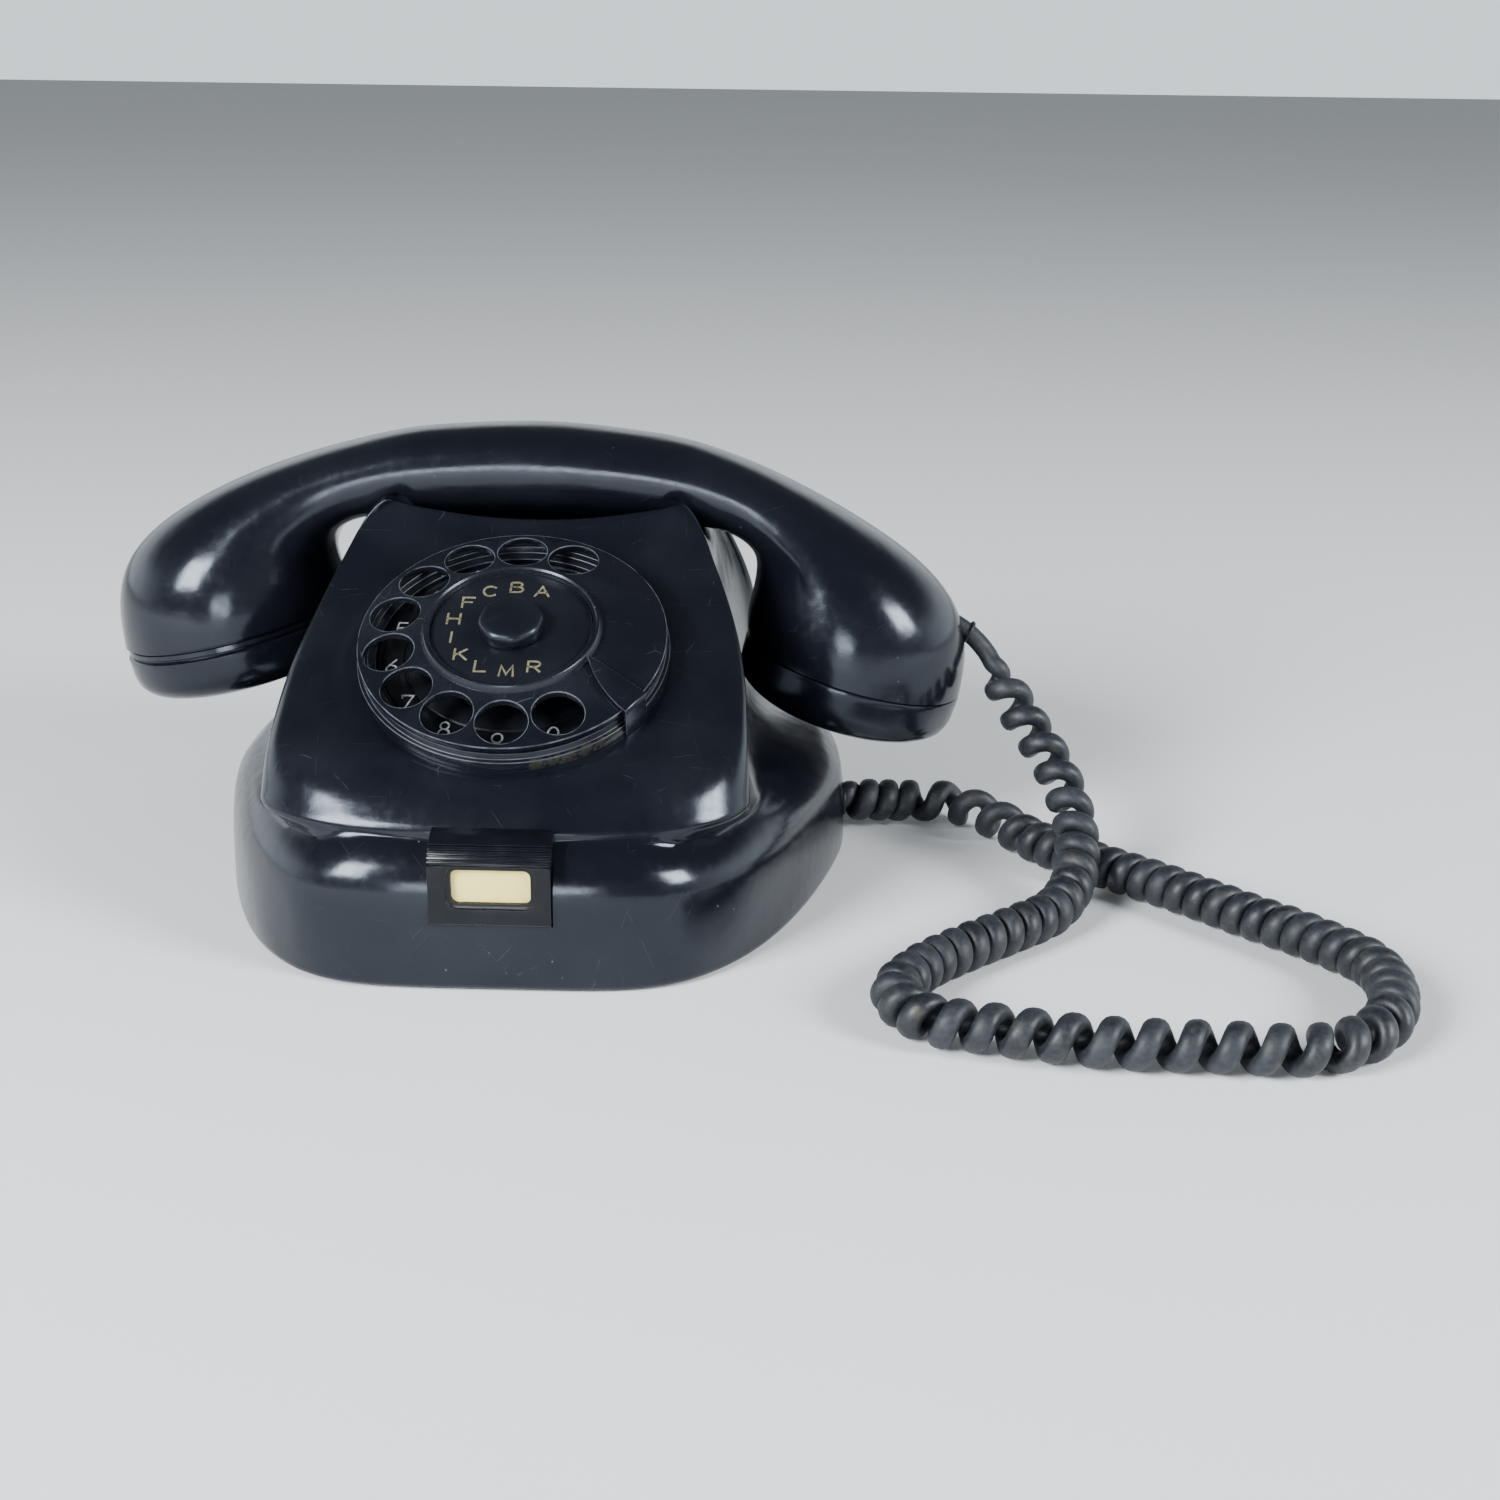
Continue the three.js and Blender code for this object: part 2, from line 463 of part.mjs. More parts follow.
hold('handset_cord_grommet', at(turned([[2.9, -0.1], [3.9, -0.1], [3.6, 0.8], [2.9, 0.8]], 10)
  .rotateY(Math.PI / 2), GROMMET.x + GAP, HANDSET.y, GROMMET.z), rubber);

// ---------------------------------------------------------------- curly cord, at its outer size
const cordRoute = [[123.6, 37, 55.4], [126, 36, 53.6], [132, 28, 44.6], [137, 21, 37.4], [142, 11, 29.5],
  [146, 0, 22.6], [147.6, -12, 16.2], [146, -26, 9.4], [139, -41, CORD.floorZ], [128, -53, CORD.floorZ],
  [115, -65, CORD.floorZ], [103, -78, CORD.floorZ], [96.6, -92, CORD.floorZ], [103, -104, CORD.floorZ],
  [119, -109, CORD.floorZ], [142, -114, CORD.floorZ], [168, -115, CORD.floorZ], [191, -115, CORD.floorZ],
  [205, -106, CORD.floorZ], [213.5, -89, CORD.floorZ], [213.5, -71, CORD.floorZ], [204, -57, CORD.floorZ],
  [188, -41, CORD.floorZ], [170, -23, CORD.floorZ], [153, -8, CORD.floorZ], [139, 7, CORD.floorZ],
  [128, 25, CORD.floorZ], [117, 36, CORD.floorZ], [104, 35, 7], CORD.inlet];
function cordTube() {
  const [steps, sides] = [64, 7];
  const path = new THREE.CatmullRomCurve3(cordRoute.map((p) => new THREE.Vector3(...p)), false, 'centripetal');
  const { normals, binormals } = path.computeFrenetFrames(steps);
  return loft(normals.map((normal, k) => {
    const radius = lerp(CORD.neckR, CORD.outerR, smoothstep(k, 0, CORD.neckSteps));
    const centre = path.getPointAt(k / steps);
    return Array.from({ length: sides }, (_, n) => {
      const [across, along] = polar(radius, (n * 360) / sides);
      return centre.clone().addScaledVector(normal, across).addScaledVector(binormals[k], along).toArray();
    });
  }));
}
place('handset_cord', cordTube(), rubber);

// ---------------------------------------------------------------- hook switch under the cradle
[['left', -1], ['right', 1]].forEach(([name, side]) => {
  const top = 89.2 - side * PLUNGER.x * Math.sin(HANDSET.lean);
  place(`plunger_${name}`, join(rod(PLUNGER.r, top - 78, side * PLUNGER.x, CRADLE.y, 78, 12),
    rod(PLUNGER.r + 1.6, 1.1, side * PLUNGER.x, CRADLE.y, 74.5, 12),
    rod(PLUNGER.r - 1, 5, side * PLUNGER.x, CRADLE.y, 75, 10)), bakelite);
});
const hookBar = join(box(2 * PLUNGER.x + 8, 8, 1.8, 0, CRADLE.y, 73.3), box(6, 6, 4, 0, CRADLE.y, 71));
place('hook_bar', hookBar, steel);
place('hook_bracket', join(box(3, 12, 32, -17, CRADLE.y - 22, 57.2), box(3, 12, 32, 17, CRADLE.y - 22, 57.2),
  box(37, 12, 2, 0, CRADLE.y - 22, 42)), steel);
place('hook_pin', at(rod(1.5, 30, 0, 0, -15, 10).rotateY(Math.PI / 2), 0, CRADLE.y - 22, 66), steel);
place('hook_lever', cut(join(box(8, 26, 2.2, 0, CRADLE.y - 11.5, 66.8), box(10, 8, 7, 0, CRADLE.y - 22, 66)),
  at(rod(1.8, 30, 0, 0, -15, 10).rotateY(Math.PI / 2), 0, CRADLE.y - 22, 66)), steel);
place('switch_springs', join(box(10, 10, 9, 0, CRADLE.y - 22, 48), box(6, 36, 0.6, 0, CRADLE.y - 12, 51.2),
  box(6, 36, 0.6, 0, CRADLE.y - 12, 48), box(6, 36, 0.6, 0, CRADLE.y - 12, 45)), brass);

// ---------------------------------------------------------------- ringer
const CLAPPER = { y: GONG.y - 9.5, z: 12.4 };
const gong = turned([[3, 0], [4.6, -1.4], [14, -3], [GONG.r, -10], [GONG.r, -13], [GONG.r - GONG.wall, -13],
  [GONG.r - GONG.wall, -10.6], [13.4, -4.8], [3, -3.2]].reverse(), 20);
place('gong_left', at(gong.clone(), -GONG.x, GONG.y, GONG.top), brass);
place('gong_right', at(gong.clone(), GONG.x, GONG.y, GONG.top), brass);
const coil = (x) => at(rod(6, 20, 0, 0, -10, 14).rotateX(Math.PI / 2), x, GONG.y + 7, CLAPPER.z);
const clapperPin = (radius, length) => at(rod(radius, length, 0, 0, 0, 8).rotateX(-Math.PI / 2), 0, 31, CLAPPER.z);
place('ringer_frame', join(box(74, 34, 1.6, 0, GONG.y, 5), rod(2.6, 29, -GONG.x, GONG.y, 5, 10),
  rod(2.6, 29, GONG.x, GONG.y, 5, 10), box(3, 8, 14, 0, GONG.y + 13, 12),
  box(3, 2.4, 11, 0, 30.4, 10.3), clapperPin(0.8, 6)), steel);
place('gong_nut_left', rod(4.4, 2, -GONG.x, GONG.y, 34.4, 6), brass);
place('gong_nut_right', rod(4.4, 2, GONG.x, GONG.y, 34.4, 6), brass);
place('ringer_coils', join(box(30, 3, 8, 0, GONG.y - 4, CLAPPER.z), coil(-9), coil(9)), copper);
place('clapper', cut(join(box(26, 2.4, 5, 0, CLAPPER.y, CLAPPER.z), box(1.6, 1.6, 10, 0, CLAPPER.y, CLAPPER.z + 6),
  at(new THREE.IcosahedronGeometry(3.4, 1), 0, CLAPPER.y, CLAPPER.z + 11)), clapperPin(1.1, 8)), steel);

// ---------------------------------------------------------------- speech circuit on the base plate
place('induction_coil', join(box(24, 18, 16, -36, -12, 12.4), box(32, 8, 8, -36, -12, 12.4)), copper);
place('capacitor', box(26, 16, 18, 34, -12, 13.4), steel);
place('terminal_strip', join(box(44, 10, 6, 0, 12, 7.4),
  ...[-16, -8, 0, 8, 16].map((x) => rod(2.2, 2.4, x, 12, 10, 8))), fibre);

export default part;
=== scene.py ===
"""Rotary desk telephone: fine surfaces, materials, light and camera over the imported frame.

Shapes are worked out in millimetres and scaled to metres when they become a mesh.
"""
import json
import math

import bpy
import numpy as np
from mathutils import Matrix, Vector


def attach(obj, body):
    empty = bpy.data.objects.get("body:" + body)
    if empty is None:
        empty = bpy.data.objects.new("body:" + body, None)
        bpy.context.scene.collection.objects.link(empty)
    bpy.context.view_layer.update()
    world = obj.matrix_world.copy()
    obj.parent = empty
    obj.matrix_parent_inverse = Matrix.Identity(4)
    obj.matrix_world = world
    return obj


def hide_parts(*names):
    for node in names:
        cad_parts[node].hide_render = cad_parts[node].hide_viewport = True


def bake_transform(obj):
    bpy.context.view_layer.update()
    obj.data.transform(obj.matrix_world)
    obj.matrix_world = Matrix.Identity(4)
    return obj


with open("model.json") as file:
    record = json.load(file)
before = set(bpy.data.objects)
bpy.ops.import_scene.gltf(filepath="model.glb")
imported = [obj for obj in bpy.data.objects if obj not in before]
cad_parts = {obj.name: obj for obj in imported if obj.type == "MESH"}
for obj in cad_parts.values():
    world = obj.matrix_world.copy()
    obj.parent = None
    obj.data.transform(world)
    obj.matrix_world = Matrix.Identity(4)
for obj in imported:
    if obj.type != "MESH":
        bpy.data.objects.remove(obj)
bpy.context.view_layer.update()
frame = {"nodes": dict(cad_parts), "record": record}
MM = 0.001
TAU = 2 * math.pi

# ---------------------------------------------------------------- camera
AZIMUTH, ELEVATION, ROLL = (math.radians(a) for a in (1.335, 19.421, 0.717))
CAMERA_AT = Vector((0.07205, -0.5383, 0.22376))
back = Vector((math.sin(AZIMUTH) * math.cos(ELEVATION), -math.cos(AZIMUTH) * math.cos(ELEVATION),
               math.sin(ELEVATION)))
level = Vector((math.cos(AZIMUTH), math.sin(AZIMUTH), 0))
right = math.cos(ROLL) * level + math.sin(ROLL) * back.cross(level)
camera = bpy.data.objects.new("camera", bpy.data.cameras.new("camera"))
bpy.context.scene.collection.objects.link(camera)
camera.matrix_world = Matrix.Translation(CAMERA_AT) @ Matrix((right, back.cross(right), back)).transposed().to_4x4()
camera.data.lens, camera.data.sensor_width = 50.4, 36
bpy.context.scene.camera = camera

# ---------------------------------------------------------------- dimensions, as in the solid model
BODY = dict(half=86, front=-83, rear=83, widest=17, taper=0.33, power=1.3, square=(5, 3.2), foot=0.8)
STEP = dict(front=36.4, side=33, rear=34)
PANEL_Y, PANEL_Z, TILT = -27.7, 67.3, math.radians(27)
CRADLE = dict(y=37, gap=20.5, floor=84.2, ridge=93.6, horn=100.2, horn_x=37)
LIP = 2.2
HANDSET_Y, PIVOT_Z, LEAN = 37, 57, math.radians(1.2)
CUP_R, CUP_TILT = 31.5, math.radians(14)
EAR = dict(x=-89.1, z=56.4, height=15.6, face=25.5)
MOUTH = dict(x=88.1, z=50.6, height=16.2, face=19)
WHEEL_R, HOLE_CIRCLE, HOLE_R, HOLE_TOP, CONE = 39, 31.2, 6.5, 8.6, math.tan(math.radians(8))
FIRST_HOLE, HOLE_STEP = 65.5, 360 / 14
INLET = (91.2, 31.3, 8.4)


# ---------------------------------------------------------------- curves and grids
def curve(pairs, t):
    """Smooth curve without overshoot through (at, value) pairs."""
    at, value = np.array(pairs, float).T
    step = np.diff(value) / np.diff(at)
    slope = np.zeros(len(at))
    product, total = step[:-1] * step[1:], step[:-1] + step[1:]
    steady = product > 0
    slope[1:-1][steady] = 2 * product[steady] / total[steady]
    slope[0], slope[-1] = step[0], step[-1]
    t = np.clip(t, at[0], at[-1])
    k = np.clip(np.searchsorted(at, t) - 1, 0, len(at) - 2)
    width = at[k + 1] - at[k]
    u = (t - at[k]) / width
    return ((1 + 2 * u) * (1 - u) ** 2 * value[k] + u * (1 - u) ** 2 * width * slope[k]
            + u * u * (3 - 2 * u) * value[k + 1] + u * u * (u - 1) * width * slope[k + 1])


def ease(t, low, high):
    u = np.clip((t - low) / (high - low), 0, 1)
    return u * u * (3 - 2 * u)


def mix(a, b, t):
    return a + (b - a) * t


def spread(line, count):
    """The same line with count points at even distances."""
    line = np.asarray(line, float)
    far = np.r_[0, np.cumsum(np.linalg.norm(np.diff(line, axis=0), axis=1))]
    return np.stack([np.interp(np.linspace(0, far[-1], count), far, line[:, k]) for k in range(3)], 1)


def relax(grid, axis, passes, closed=False, share=None):
    """Rounds a grid of points along one direction; share limits it row by row."""
    for _ in range(passes):
        before, after = np.roll(grid, 1, axis), np.roll(grid, -1, axis)
        moved = grid + 0.5 * ((before + after) / 2 - grid)
        if not closed:
            ends = [slice(None)] * grid.ndim
            for end in (0, -1):
                ends[axis] = end
                moved[tuple(ends)] = grid[tuple(ends)]
        grid = moved if share is None else mix(grid, moved, share)
    return grid


# ---------------------------------------------------------------- mesh pieces
def outward(points, faces):
    """The faces of a closed solid, turned so that they face out."""
    p = np.asarray(points, float)
    p = p - p.mean(0)
    volume = sum(p[face[0]] @ np.cross(p[face[k]], p[face[k + 1]]) for face in faces
                 for k in range(1, len(face) - 1))
    return faces if volume >= 0 else [tuple(reversed(face)) for face in faces]


def piece(name, points, faces, material, body, sharp=35, replaced=()):
    mesh = bpy.data.meshes.new(name)
    mesh.from_pydata((np.asarray(points, float) * MM).tolist(), [], faces)
    mesh.validate()
    obj = bpy.data.objects.new(name, mesh)
    bpy.context.scene.collection.objects.link(obj)
    finish(obj, material, sharp)
    if body:
        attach(obj, body)
    if replaced:
        stand_for(replaced)
    return obj


def stand_for(replaced):
    """The new piece is shown instead of these solids, which are hidden."""
    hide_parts(*replaced)


def finish(obj, material, sharp):
    if material is not None:
        obj.data.materials.clear()
        obj.data.materials.append(material)
    obj.data.shade_smooth()
    obj.data.set_sharp_from_angle(angle=math.radians(sharp))


def grid_faces(rows, columns):
    """Quads of a grid of points, row by row; the last column joins the first."""
    return [(r * columns + k, r * columns + (k + 1) % columns,
             (r + 1) * columns + (k + 1) % columns, (r + 1) * columns + k)
            for r in range(rows - 1) for k in range(columns)]


def tube_mesh(grid):
    """Points and faces of closed rings, each end closed by a fan about its middle."""
    rows, columns = grid.shape[:2]
    points = np.concatenate([grid.reshape(-1, 3), grid[0].mean(0)[None], grid[-1].mean(0)[None]])
    start, end, top = rows * columns, rows * columns + 1, (rows - 1) * columns
    faces = grid_faces(rows, columns)
    faces += [(start, (k + 1) % columns, k) for k in range(columns)]
    faces += [(end, top + k, top + (k + 1) % columns) for k in range(columns)]
    return points, faces


def turned(profile, sides=96, wave=None):
    """Closed solid of revolution about +Z from (radius, height) pairs; wave(angle) scales the radius."""
    angle = np.arange(sides) * TAU / sides
    scale = np.ones(sides) if wave is None else wave(angle)
    ring = [np.stack([r * scale * np.cos(angle), r * scale * np.sin(angle), np.full(sides, h)], 1)
            for r, h in profile]
    if profile[0][0] > 0 and profile[-1][0] > 0:
        grid = np.array(ring + ring[:1])
        return grid[:-1].reshape(-1, 3), [
            tuple(v % ((len(grid) - 1) * sides) for v in face) for face in grid_faces(len(grid), sides)]
    return tube_mesh(np.array([r for r, p in zip(ring, profile) if p[0] > 0]))


def rounded(profile, radius=0.4, steps=3):
    """The closed profile with each corner replaced by a small curve."""
    result, count = [], len(profile)
    for k, corner in enumerate(np.array(profile, float)):
        if corner[0] == 0:
            result.append(tuple(corner))
            continue
        before, after = (np.array(profile[(k + s) % count], float) - corner for s in (-1, 1))
        a = corner + before * min(0.45, radius / max(np.linalg.norm(before), 1e-6))
        b = corner + after * min(0.45, radius / max(np.linalg.norm(after), 1e-6))
        for u in np.linspace(0, 1, steps + 1):
            result.append(tuple((1 - u) ** 2 * a + 2 * u * (1 - u) * corner + u * u * b))
    return result


def rotate(points, axis, angle):
    points = np.asarray(points, float)
    return points @ np.array(Matrix.Rotation(angle, 3, axis)).T


def on_panel(points):
    return rotate(points, "X", TILT) + (0, PANEL_Y, PANEL_Z)


def on_handset(points):
    """A point of the level handset, moved to where it rests."""
    pivot = np.array((0, HANDSET_Y, PIVOT_Z))
    return rotate(np.asarray(points, float) - pivot, "Y", LEAN) + pivot


def on_cup(points, cup):
    tilt = CUP_TILT if cup["x"] > 0 else -CUP_TILT
    return on_handset(rotate(points, "Y", tilt) + (cup["x"], HANDSET_Y, cup["z"]))


def block(low, high):
    """Corners and faces of a box."""
    corners = [(x, y, z) for x in (low[0], high[0]) for y in (low[1], high[1]) for z in (low[2], high[2])]
    return np.array(corners, float), [(0, 1, 3, 2), (4, 6, 7, 5), (0, 4, 5, 1), (2, 3, 7, 6), (0, 2, 6, 4),
                                      (1, 5, 7, 3)]


def apply_modifiers(obj):
    bpy.context.view_layer.update()
    mesh = bpy.data.meshes.new_from_object(obj.evaluated_get(bpy.context.evaluated_depsgraph_get()))
    obj.modifiers.clear()
    obj.data = mesh


def carve(obj, cutters):
    """Cuts solids, given as (points, faces), out of obj."""
    mesh = bpy.data.meshes.new("cutter")
    points, faces, base = [], [], 0
    for some, sides in cutters:
        points += (np.asarray(some, float) * MM).tolist()
        faces += [tuple(base + v for v in side) for side in outward(some, sides)]
        base += len(some)
    mesh.from_pydata(points, [], faces)
    cutter = bpy.data.objects.new("cutter", mesh)
    bpy.context.scene.collection.objects.link(cutter)
    modifier = obj.modifiers.new("carve", "BOOLEAN")
    modifier.operation, modifier.object, modifier.solver = "DIFFERENCE", cutter, "EXACT"
    apply_modifiers(obj)
    bpy.data.objects.remove(cutter)


def bevel(obj, width, segments=2, angle=30, edge_highlight_finish=None):
    """Rounds the sharp edges; the last argument is the finish of the narrow faces this makes, where a lighter colour
    is a painted highlight along the edges.
    """
    modifier = obj.modifiers.new("bevel", "BEVEL")
    if edge_highlight_finish is not None:
        obj.data.materials.append(edge_highlight_finish)
        modifier.material = 1
    modifier.width, modifier.segments, modifier.angle_limit = width * MM, segments, math.radians(angle)
    modifier.limit_method, modifier.harden_normals = "ANGLE", False
    apply_modifiers(obj)


# ---------------------------------------------------------------- materials
class Nodes:
    """A material's node tree, with short calls for what the finishes below share."""

    def __init__(self, name):
        self.material = bpy.data.materials.new(name)
        self.material.use_nodes = True
        self.tree = self.material.node_tree
        self.shader = self.tree.nodes["Principled BSDF"]
        self.place = self.tree.nodes.new("ShaderNodeTexCoord").outputs["Object"]

    def link(self, source, target):
        if isinstance(source, bpy.types.NodeSocket):
            self.tree.links.new(source, target)
        else:
            target.default_value = source

    def noise(self, scale, detail=4, stretch=(1, 1, 1), shift=0.0):
        node = self.tree.nodes.new("ShaderNodeTexNoise")
        node.inputs["Scale"].default_value, node.inputs["Detail"].default_value = scale, detail
        self.link(self.mapped(stretch, shift), node.inputs["Vector"])
        return node.outputs["Fac"]

    def mapped(self, stretch, shift):
        node = self.tree.nodes.new("ShaderNodeMapping")
        self.link(self.place, node.inputs["Vector"])
        node.inputs["Scale"].default_value = stretch
        node.inputs["Location"].default_value = (shift, shift * 0.7, shift * 1.3)
        return node.outputs["Vector"]

    def voronoi(self, scale, feature="F1", output="Distance", stretch=(1, 1, 1), shift=0.0):
        node = self.tree.nodes.new("ShaderNodeTexVoronoi")
        node.feature = feature
        node.inputs["Scale"].default_value = scale
        self.link(self.mapped(stretch, shift), node.inputs["Vector"])
        return node.outputs[output]

    def span(self, value, low, high, to_low=0.0, to_high=1.0):
        node = self.tree.nodes.new("ShaderNodeMapRange")
        self.link(value, node.inputs["Value"])
        for name, number in (("From Min", low), ("From Max", high), ("To Min", to_low), ("To Max", to_high)):
            node.inputs[name].default_value = number
        return node.outputs["Result"]

    def math(self, operation, a, b):
        node = self.tree.nodes.new("ShaderNodeMath")
        node.operation = operation
        self.link(a, node.inputs[0])
        self.link(b, node.inputs[1])
        return node.outputs[0]

    def blend(self, share, a, b):
        node = self.tree.nodes.new("ShaderNodeMix")
        node.data_type = "RGBA"
        self.link(share, node.inputs[0])
        for socket, colour in ((6, a), (7, b)):
            self.link(colour if not isinstance(colour, tuple) else (*colour, 1), node.inputs[socket])
        return node.outputs[2]

    def bump(self, height, depth, under=None):
        node = self.tree.nodes.new("ShaderNodeBump")
        node.inputs["Distance"].default_value = depth
        self.link(height, node.inputs["Height"])
        if under is not None:
            self.link(under, node.inputs["Normal"])
        return node.outputs["Normal"]

    def specks(self, scale, size, share, shift=0.0):
        """Small spots, one in a share of the cells."""
        spot = self.span(self.voronoi(scale, shift=shift), size, size * 0.5)
        chosen = self.span(self.voronoi(scale, output="Color", shift=shift), 1 - share, 1 - share + 0.02)
        return self.math("MULTIPLY", spot, chosen)

    def scratches(self, scale, stretch, width, shift=0.0):
        """Thin broken lines."""
        line = self.span(self.voronoi(scale, "DISTANCE_TO_EDGE", stretch=stretch, shift=shift), width, 0)
        broken = self.span(self.noise(scale * 2.5, 2, shift=shift + 3), 0.56, 0.62)
        return self.math("MULTIPLY", line, broken)

    def spot(self, at, reach):
        """1 near a place in millimetres, falling to 0 at reach, with a ragged edge."""
        node = self.tree.nodes.new("ShaderNodeVectorMath")
        node.operation = "DISTANCE"
        self.link(self.place, node.inputs[0])
        node.inputs[1].default_value = [v * MM for v in at]
        near = self.span(node.outputs["Value"], reach * MM, 0)
        return self.span(self.math("MULTIPLY", near, self.span(self.noise(900, 4), 0.3, 0.7)), 0.12, 0.3)

    def done(self, colour, roughness, metallic=0.0, normal=None, ior=1.5, tint=(1, 1, 1)):
        self.link(colour if not isinstance(colour, tuple) else (*colour, 1), self.shader.inputs["Base Color"])
        self.link(roughness, self.shader.inputs["Roughness"])
        self.shader.inputs["Metallic"].default_value = metallic
        self.shader.inputs["IOR"].default_value = ior
        self.shader.inputs["Specular Tint"].default_value = (*tint, 1)
        if normal is not None:
            self.link(normal, self.shader.inputs["Normal"])
        return self.material


def bakelite(name, dust=0.5, wear=0.5, rough=0.16, marks=()):
    """Black moulded resin: a soft ripple, a thin uneven film of dust, specks and hairline scratches.

    marks are spots of wear or dirt: a place, a reach, a strength and a colour.
    """
    n = Nodes(name)
    film = n.span(n.noise(38, 5, shift=1.0), 0.42, 0.78)
    cloud = n.span(n.noise(420, 3, shift=5.0), 0.45, 0.7)
    specks = n.math("MAXIMUM", n.specks(230, 0.07, 0.24), n.specks(520, 0.09, 0.07, 7.0))
    hairs = n.math("MAXIMUM", n.scratches(75, (1, 0.35, 0.5), 0.0035), n.scratches(60, (0.3, 1, 1), 0.003, 9.0))
    colour = n.blend(n.math("MULTIPLY", film, 0.24 * dust), (0.0042, 0.0046, 0.0078), (0.045, 0.050, 0.060))
    colour = n.blend(n.math("MULTIPLY", hairs, 0.22 * wear), colour, (0.16, 0.18, 0.20))
    colour = n.blend(n.math("MULTIPLY", specks, 0.40 * dust), colour, (0.34, 0.36, 0.36))
    for at, reach, strength, tint in marks:
        colour = n.blend(n.math("MULTIPLY", n.spot(at, reach), strength), colour, tint)
    roughness = n.math("ADD", n.span(n.math("ADD", film, cloud), 0, 2, rough, rough + 0.12),
                       n.math("MULTIPLY", specks, 0.4))
    ripple = n.bump(n.noise(80, 2, shift=2.0), 0.00018)
    grain = n.bump(n.noise(1700, 3, shift=4.0), 0.000014, ripple)
    return n.done(colour, roughness, normal=grain, ior=1.46, tint=(0.79, 0.875, 1))


def plain(name, colour, roughness, metallic=0.0, vary=0.35, scale=160, depth=0.00004, stretch=(1, 1, 1),
          ior=1.5):
    """A finish with an even mottle and a fine grain."""
    n = Nodes(name)
    mottle = n.span(n.noise(scale, 4, stretch), 0.3, 0.7)
    dark = tuple(c * (1 - vary) for c in colour)
    light = tuple(min(1, c * (1 + vary)) for c in colour)
    return n.done(n.blend(mottle, dark, light), n.span(mottle, 0, 1, roughness * 0.85, roughness * 1.2), metallic,
                  n.bump(n.noise(scale * 6, 3, stretch, 2.0), depth), ior)


def cord_rubber():
    """Matt grey-black rubber with dust in its hollows."""
    n = Nodes("cord_rubber")
    film = n.span(n.noise(70, 5), 0.4, 0.72)
    powder = n.span(n.noise(900, 3, shift=3.0), 0.4, 0.75)
    dust = n.math("MULTIPLY", n.math("ADD", film, powder), 0.13)
    colour = n.blend(dust, (0.0065, 0.0078, 0.0118), (0.105, 0.116, 0.135))
    colour = n.blend(n.math("MULTIPLY", n.span(n.noise(160, 5, shift=6.0), 0.6, 0.75), 0.35), colour,
                     (0.10, 0.09, 0.065))
    colour = n.blend(n.math("MULTIPLY", n.specks(380, 0.10, 0.18), 0.5), colour, (0.36, 0.37, 0.37))
    return n.done(colour, n.span(film, 0, 1, 0.46, 0.64), normal=n.bump(n.noise(1500, 3), 0.00005))


def card_paper():
    """Yellowed paper, stained and fibrous."""
    n = Nodes("card_paper")
    stain = n.span(n.noise(120, 5), 0.35, 0.75)
    fibre = n.noise(500, 3, (1, 1, 5))
    colour = n.blend(n.math("MULTIPLY", stain, 0.6), (0.95, 0.82, 0.21), (0.80, 0.68, 0.16))
    colour = n.blend(n.math("MULTIPLY", fibre, 0.25), colour, (0.96, 0.86, 0.34))
    return n.done(colour, 0.85, normal=n.bump(fibre, 0.00005))


def clear_window():
    """A thin clear sheet that hardly hides the card."""
    n = Nodes("clear_window")
    haze = n.span(n.noise(140, 4), 0.3, 0.8, 0.04, 0.16)
    material = n.done((0.97, 0.96, 0.92), haze, ior=1.45)
    n.shader.inputs["Alpha"].default_value = 0.025
    return material


def floor_paint():
    n = Nodes("floor_paint")
    tone = n.span(n.noise(1.5, 2), 0.3, 0.7)
    return n.done(n.blend(tone, (0.93, 0.93, 0.93), (0.95, 0.95, 0.95)), 0.9)


BAKELITE = bakelite("bakelite")
WHEEL_BAKELITE = bakelite("wheel_bakelite", dust=0.7, wear=1.0, rough=0.22)
DISC_BLACK = bakelite("disc_black", dust=0.4, wear=0.4, rough=0.3)
HANDSET_BAKELITE = bakelite("handset_bakelite", dust=0.3, wear=0.3, rough=0.15,
                            marks=[((54, 26, 92), 4.5, 0.9, (0.12, 0.13, 0.085))])
HOLDER_BLACK = plain("holder_black", (0.0034, 0.0037, 0.0062), 0.24, depth=0.000012, ior=1.36)
DEEP_BLACK = plain("deep_black", (0.0032, 0.0036, 0.0052), 0.3, depth=0.000004, ior=1.42)
CORD = cord_rubber()
